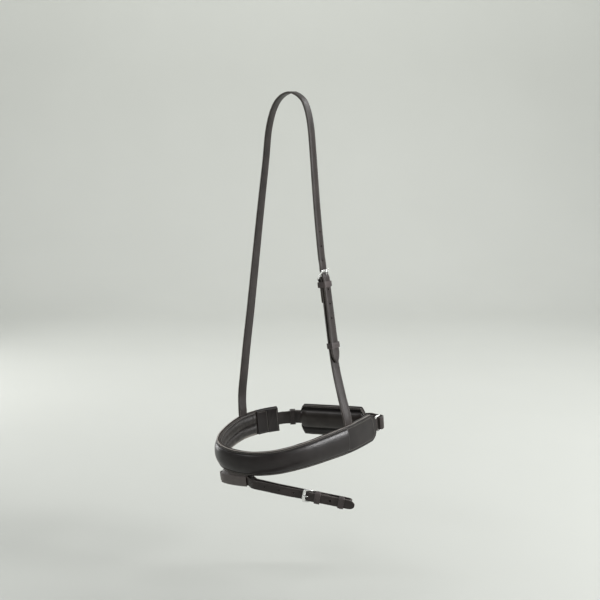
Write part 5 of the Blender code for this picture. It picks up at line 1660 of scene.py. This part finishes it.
# The pad face's grooves take the darker groove look: painted shade in the grooves.
# The pad face's rim takes the strap edge look, a painted rim highlight.
pad_face_piece = place_piece(pad_loft(
    "pad_face_leather", face_profile, "pad", edge_strips=(2, 3, 46, 47),
    groove_strips=(*range(5, 13), *range(37, 45)),
), "noseband", "chin_pad_face")
pad_seam_places = [
    x for x in pad_places if stitch_inset < x + pad_end_bulge < pad_total - stitch_inset]
pad_seam = [(x, pad_outline(x) - stitch_inset) for x in pad_seam_places]
pad_seam += [(x, -h) for x, h in reversed(pad_seam)] + pad_seam[:1]
stitches("pad_stitches", [
    drawn_seam(pad_seam, pad_local.place, flange + stitch_sink, -1),
    drawn_seam(pad_seam, pad_local.place, backing_top - stitch_sink),
])

# Flash holder: a leather tunnel under the nose, its web going up between the band's layers
holder_s = nose_length * holder_share
holder_drop = (half_height(holder_s) + holder_hang + clearance + holder_wall + keeper_clearance
               + flash_width / 2)
holder_s1 = holder_s - holder_length / 2
holder_s2 = holder_s + holder_length / 2


def left_end_share(s):
    """0 at the holder's right end, 1 at its left end."""
    return max(0.0, (holder_s2 - s) / holder_length) ** 1.5


def in_holder(s, h, z):
    """A point of the tunnel, h and z from its middle. It hangs lower and stands out to the left."""
    left = left_end_share(s)
    return nose.place(
        s, h - holder_drop - holder_sag * left, middle_line + z + holder_flare * left)


hold_half_h = flash_width / 2 + keeper_clearance
hold_half_z = flash_thickness / 2 + keeper_clearance * 2.2
inside = [(-hold_half_h, -hold_half_z), (hold_half_h, -hold_half_z),
          (hold_half_h, hold_half_z), (-hold_half_h, hold_half_z)]
wall_h, wall_z = hold_half_h + holder_wall, hold_half_z + holder_wall
web_half = holder_web / 2
shoulder = wall_h - holder_wall * 0.3
r = holder_wall * 0.8  # rounding of the tunnel's outer corners
rings_out, rings_in = [], []
for s in stations(holder_s1, holder_s2):
    left = left_end_share(s)
    web_foot = holder_drop + holder_sag * left - half_height(s) - clearance
    web_top = web_foot + clearance + holder_web_reach
    web_z = -holder_flare * left
    outside = [
        (-wall_h + r, -wall_z), (0.0, -wall_z), (shoulder - r, -wall_z),
        (wall_h - r * 0.3, -wall_z + r), (wall_h, -web_half),
        (web_foot, web_z - web_half), (web_top, web_z - web_half),
        (web_top, web_z + web_half), (web_foot, web_z + web_half),
        (wall_h, web_half), (wall_h - r * 0.3, wall_z - r),
        (shoulder - r, wall_z), (0.0, wall_z), (-wall_h + r, wall_z),
        (-wall_h + r * 0.3, wall_z - r * 0.3), (-wall_h, wall_z - r),
        (-wall_h, -wall_z + r), (-wall_h + r * 0.3, -wall_z + r * 0.3),
    ]
    rings_in.append([in_holder(s, h, z) for h, z in inside])
    rings_out.append([in_holder(s, h, z) for h, z in outside])
first_in, last_in = [
    [in_holder(s, h, z) for h, z in inside]
    for s in (holder_s1 - cut_overrun, holder_s2 + cut_overrun)
]
holder = loft_piece("holder_leather", rings_out, ["holder"])
apply_cuts(holder, [
    loft_piece("holder_tunnel_cutter", [first_in] + rings_in + [last_in], ["edge"])])
place_piece(holder, "noseband", "flash_holder")
cutters.append(band_cutter(
    "holder_web_cutter", holder_s1 - clearance, holder_s2 + clearance,
    -half_height(holder_s) - cut_overrun, holder_web_reach - half_height(holder_s) + clearance,
    middle_bottom - cut_overrun, middle_top + cut_overrun,
))
apply_cuts(middle, cutters)
place_piece(middle, "noseband", "nosepiece_middle_layer")

# Flash route: through the holder and on along the front run
upright = Vector((0, 0, 1))
tunnel_places = [holder_s1 + holder_length * share for share in (-0.02, 0.2, 0.4, 0.6, 0.8, 1.0)]
tunnel = [in_holder(s, 0, 0) for s in tunnel_places]
front_run = [
    Vector((x * band_half_width, y * band_depth, z * hang_drop)) for x, y, z in flash_line_shares
]
flash = Route(tunnel + front_run)
flash.outs = [(flash.nearest(p), nose.out(s)) for p, s in zip(tunnel, tunnel_places)]
flash.outs += [
    (flash.nearest(here), (after - before).normalized().cross(upright).normalized())
    for before, here, after in zip(front_run, front_run[1:], front_run[2:])
]
run_end = (front_run[-1] - front_run[-3]).normalized()
flash.outs.append((flash.length, run_end.cross(upright).normalized()))
flash_mid_s = flash.nearest(in_holder(holder_s, 0, 0))
flash_heel_s = flash_mid_s + flash_heel_place
flash_heel_z = -(bar_radius + clearance + flash_thickness / 2)
flash_level = flash_thickness + clearance
flash_front_z = flash_heel_z + bar_spacing * flash_frame_rise
flash_local = Local(flash, flash_heel_s)


def on_flash(x, a, z):
    return flash.place(flash_heel_s + x, a, z)


left_x = -flash_heel_place - holder_length / 2 - flash_left_overhang
back_z = -flash_layer_gap
bend_r = flash_layer_gap / 2
t, w = flash_thickness, flash_width
flash_dip = billet_dip(flash_level, t, flash_front_z)
behind = -hold_half_z - holder_wall - clearance * 2 - t / 2
behind_z = min(back_z, behind)
left_r = -behind_z / 2
line = [(x, 0.0) for x in spread(0.0, flash_bend_place, tail_step)]
line += [
    (flash_bend_place + bend_r * math.cos(turn), back_z / 2 + bend_r * math.sin(turn))
    for turn in map(math.radians, (90, 50, 15, -15, -50, -90))
]
line += [(x, back_z) for x in spread(
    flash_bend_place, -flash_heel_place + holder_length * 0.63, run_step)]
line += [(-flash_heel_place + holder_length / 2, behind_z), (-flash_heel_place, behind_z),
         (-flash_heel_place - holder_length / 2, -left_r * 2)]
line += [
    (left_x + left_r * math.cos(turn), -left_r + left_r * math.sin(turn))
    for turn in map(math.radians, (-110, -150, -180, -210, -250))
]
line += [
    (-flash_heel_place + holder_length * share, 0.0) for share in (-0.5, -0.25, 0.0, 0.25, 0.5)]
line += [(x, 0.0) for x in spread(
    -flash_heel_place + holder_length / 2, -bar_spacing * 3, tail_step)]
line += [(-bar_spacing * 3, 0.0), (-bar_spacing * 2.4, flash_dip[0][1] * 0.5)]
line += flash_dip
line += [(x, flash_level) for x in spread(
    bar_spacing * dip_top_share, flash_tail - flash_tip_length, run_step)]
nodes = turned_back_nodes(flash_heel_z, t, w, flash_turnback, True)
nodes += fold_nodes(flash_heel_z, t, w, True)
nodes += [(x, z, t, w) for x, z in line]
nodes += tip_nodes(flash_tail, flash_tip_length, flash_level, t, w, round_tip_shares)
flash_strap = strap("flash_leather", on_flash, nodes)
hole = used_hole(flash_dip, t)
holes = [hole]
holes += [
    plain_hole(hole[0] - i * hole_pitch, 0.0, t, clearance * 3)
    for i in range(1, flash_holes_above + 1)
]
holes.append(plain_hole(hole[0] + hole_pitch * 1.5, flash_level, t))
apply_cuts(flash_strap, [
    round_hole_cutter("flash_holes", on_flash, holes),
    prong_slot("flash_prong_slot", flash_local, flash_heel_z, fold_reach + clearance * 2)])
place_piece(flash_strap, "noseband", "flash_strap")
turned_back_face = t / 2 + clearance + turned_back_thickness
stitches("flash_stitches", edge_seams(on_flash, w, [
    (z, keeper_start + keeper_width + clearance, flash_turnback - clearance * 3)
    for z in (t / 2 - stitch_sink, stitch_sink - turned_back_face)
]))
buckle_frame("flash_buckle_steel", flash_local, flash_heel_z, flash_front_z, w,
             "flash_buckle", "flash_buckle_frame")
buckle_prong("flash_prong_steel", flash_local, flash_heel_z, flash_front_z,
             "flash_prong", "flash_buckle_prong")
keeper(
    "flash_keeper", flash_local, keeper_start, w / 2, -turned_back_face - turned_back_thickness,
    flash_level + t / 2, "noseband", "flash_fixed_keeper",
)
flash_slider_local = Local(flash, flash_heel_s + flash_slider_place)
keeper(
    "flash_slider_leather", flash_slider_local, -keeper_width / 2, w / 2,
    -t / 2, flash_level + t / 2, "flash_slider", "flash_sliding_keeper",
)

# The foam cores are the frame's own solids, hidden inside their covers
for node in ("nosepiece_foam_core", "chin_pad_foam_core"):
    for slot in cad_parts[node].material_slots:
        slot.material = looks["foam"]

# Floor and backdrop: one sweep of paper, square to the camera
floor_gap = 0.125
floor_level = cad_box[0][2] - floor_gap
floor_reach, backdrop_place, backdrop_height, sweep_radius = 6.0, 3.0, 5.0, 0.8
view_turn = math.radians(29)
ahead = Vector((-math.sin(view_turn), math.cos(view_turn), 0))
aside = Vector((math.cos(view_turn), math.sin(view_turn), 0))
sweep_start = backdrop_place - sweep_radius
profile = [(-floor_reach, floor_level), (sweep_start, floor_level)]
profile += [
    (sweep_start + sweep_radius * math.sin(turn),
     floor_level + sweep_radius - sweep_radius * math.cos(turn))
    for turn in map(math.radians, range(10, 91, 10))
]
profile += [(backdrop_place, floor_level + backdrop_height)]
mesh_data = bmesh.new()
rows = [
    [mesh_data.verts.new(aside * x + ahead * y + Vector((0, 0, z)))
     for x in (-floor_reach, floor_reach)]
    for y, z in profile
]
for low_row, high_row in zip(rows, rows[1:]):
    mesh_data.faces.new((low_row[0], low_row[1], high_row[1], high_row[0]))
mesh = bpy.data.meshes.new("floor_sweep")
mesh_data.to_mesh(mesh)
mesh_data.free()
mesh.shade_smooth()
floor = add_object("floor_sweep", mesh)
paper, tree, shader, coords = new_material("pale_paper")
fibres = add_node(tree, "TexNoise", "Fac", {"Vector": coords, "Scale": 3.0})
connect(tree, shader, {
    "Roughness": 0.9,
    "Base Color": add_ramp(tree, fibres, (0.540, 0.551, 0.519), (0.570, 0.581, 0.549)),
})
mesh.materials.append(paper)

# The room's light: even to the camera, weaker on the pieces
world = bpy.data.worlds.new("soft_room")
bpy.context.scene.world = world
world.use_nodes = True
tree = world.node_tree
height = add_node(tree, "SeparateXYZ", "Z", {
    "Vector": add_node(tree, "TexCoord", "Generated", {})})
rise = add_node(tree, "MapRange", "Result", {"Value": height, "From Min": -1.0})
rays = tree.nodes.new("ShaderNodeLightPath")
seen = tree.nodes.new("ShaderNodeMath")
seen.operation = "MAXIMUM"
connect(tree, seen, {
    0: rays.outputs["Is Camera Ray"], 1: rays.outputs["Is Transmission Ray"]})
connect(tree, tree.nodes["Background"], {
    "Color": add_ramp(tree, rise, (0.60, 0.615, 0.575), (0.58, 0.60, 0.61), 0.58, 0.90),
    "Strength": add_node(tree, "MapRange", "Result", {
        "Value": seen.outputs["Value"], "To Min": 0.60}),
})


def lamp(name, place, aim, power, size):
    light = bpy.data.lights.new(name, "AREA")
    light.energy = power
    light.shape = "RECTANGLE"
    light.size, light.size_y = size
    obj = add_object(name, light)
    obj.location = place
    obj.rotation_euler = (Vector(aim) - Vector(place)).to_track_quat("-Z", "Y").to_euler()


middle_of_band = (0, 0, -0.45)
lamp("key_light", (-0.5, -1.5, 0.75), middle_of_band, 6.0, (0.9, 0.4))
lamp("side_light", (1.9, 0.3, 0.22), middle_of_band, 34.0, (0.55, 0.85))
lamp("back_light", (0.9, 1.4, 0.80), middle_of_band, 12.0, (1.2, 0.6))
lamp("rim_light", (-1.9, 0.4, -0.1), middle_of_band, 12.0, (0.4, 1.2))
lamp("backdrop_light", ahead * 1.0 + Vector((0, 0, 1.9)), ahead * 3.0 + Vector((0, 0, 0.3)),
     50.0, (3.0, 0.5))

# Camera, looking a little down along the photograph's line of sight
camera_tilt_deg = 8.958
camera_data = bpy.data.cameras.new("photo_camera")
camera_data.sensor_width = 36
camera_data.lens = 78.6
camera = add_object("photo_camera", camera_data)
camera.location = (0.93204, -1.65573, 0.0)
camera.rotation_euler = (math.radians(90 - camera_tilt_deg), 0, view_turn)
bpy.context.scene.camera = camera
bpy.context.scene.view_settings.view_transform = "Standard"
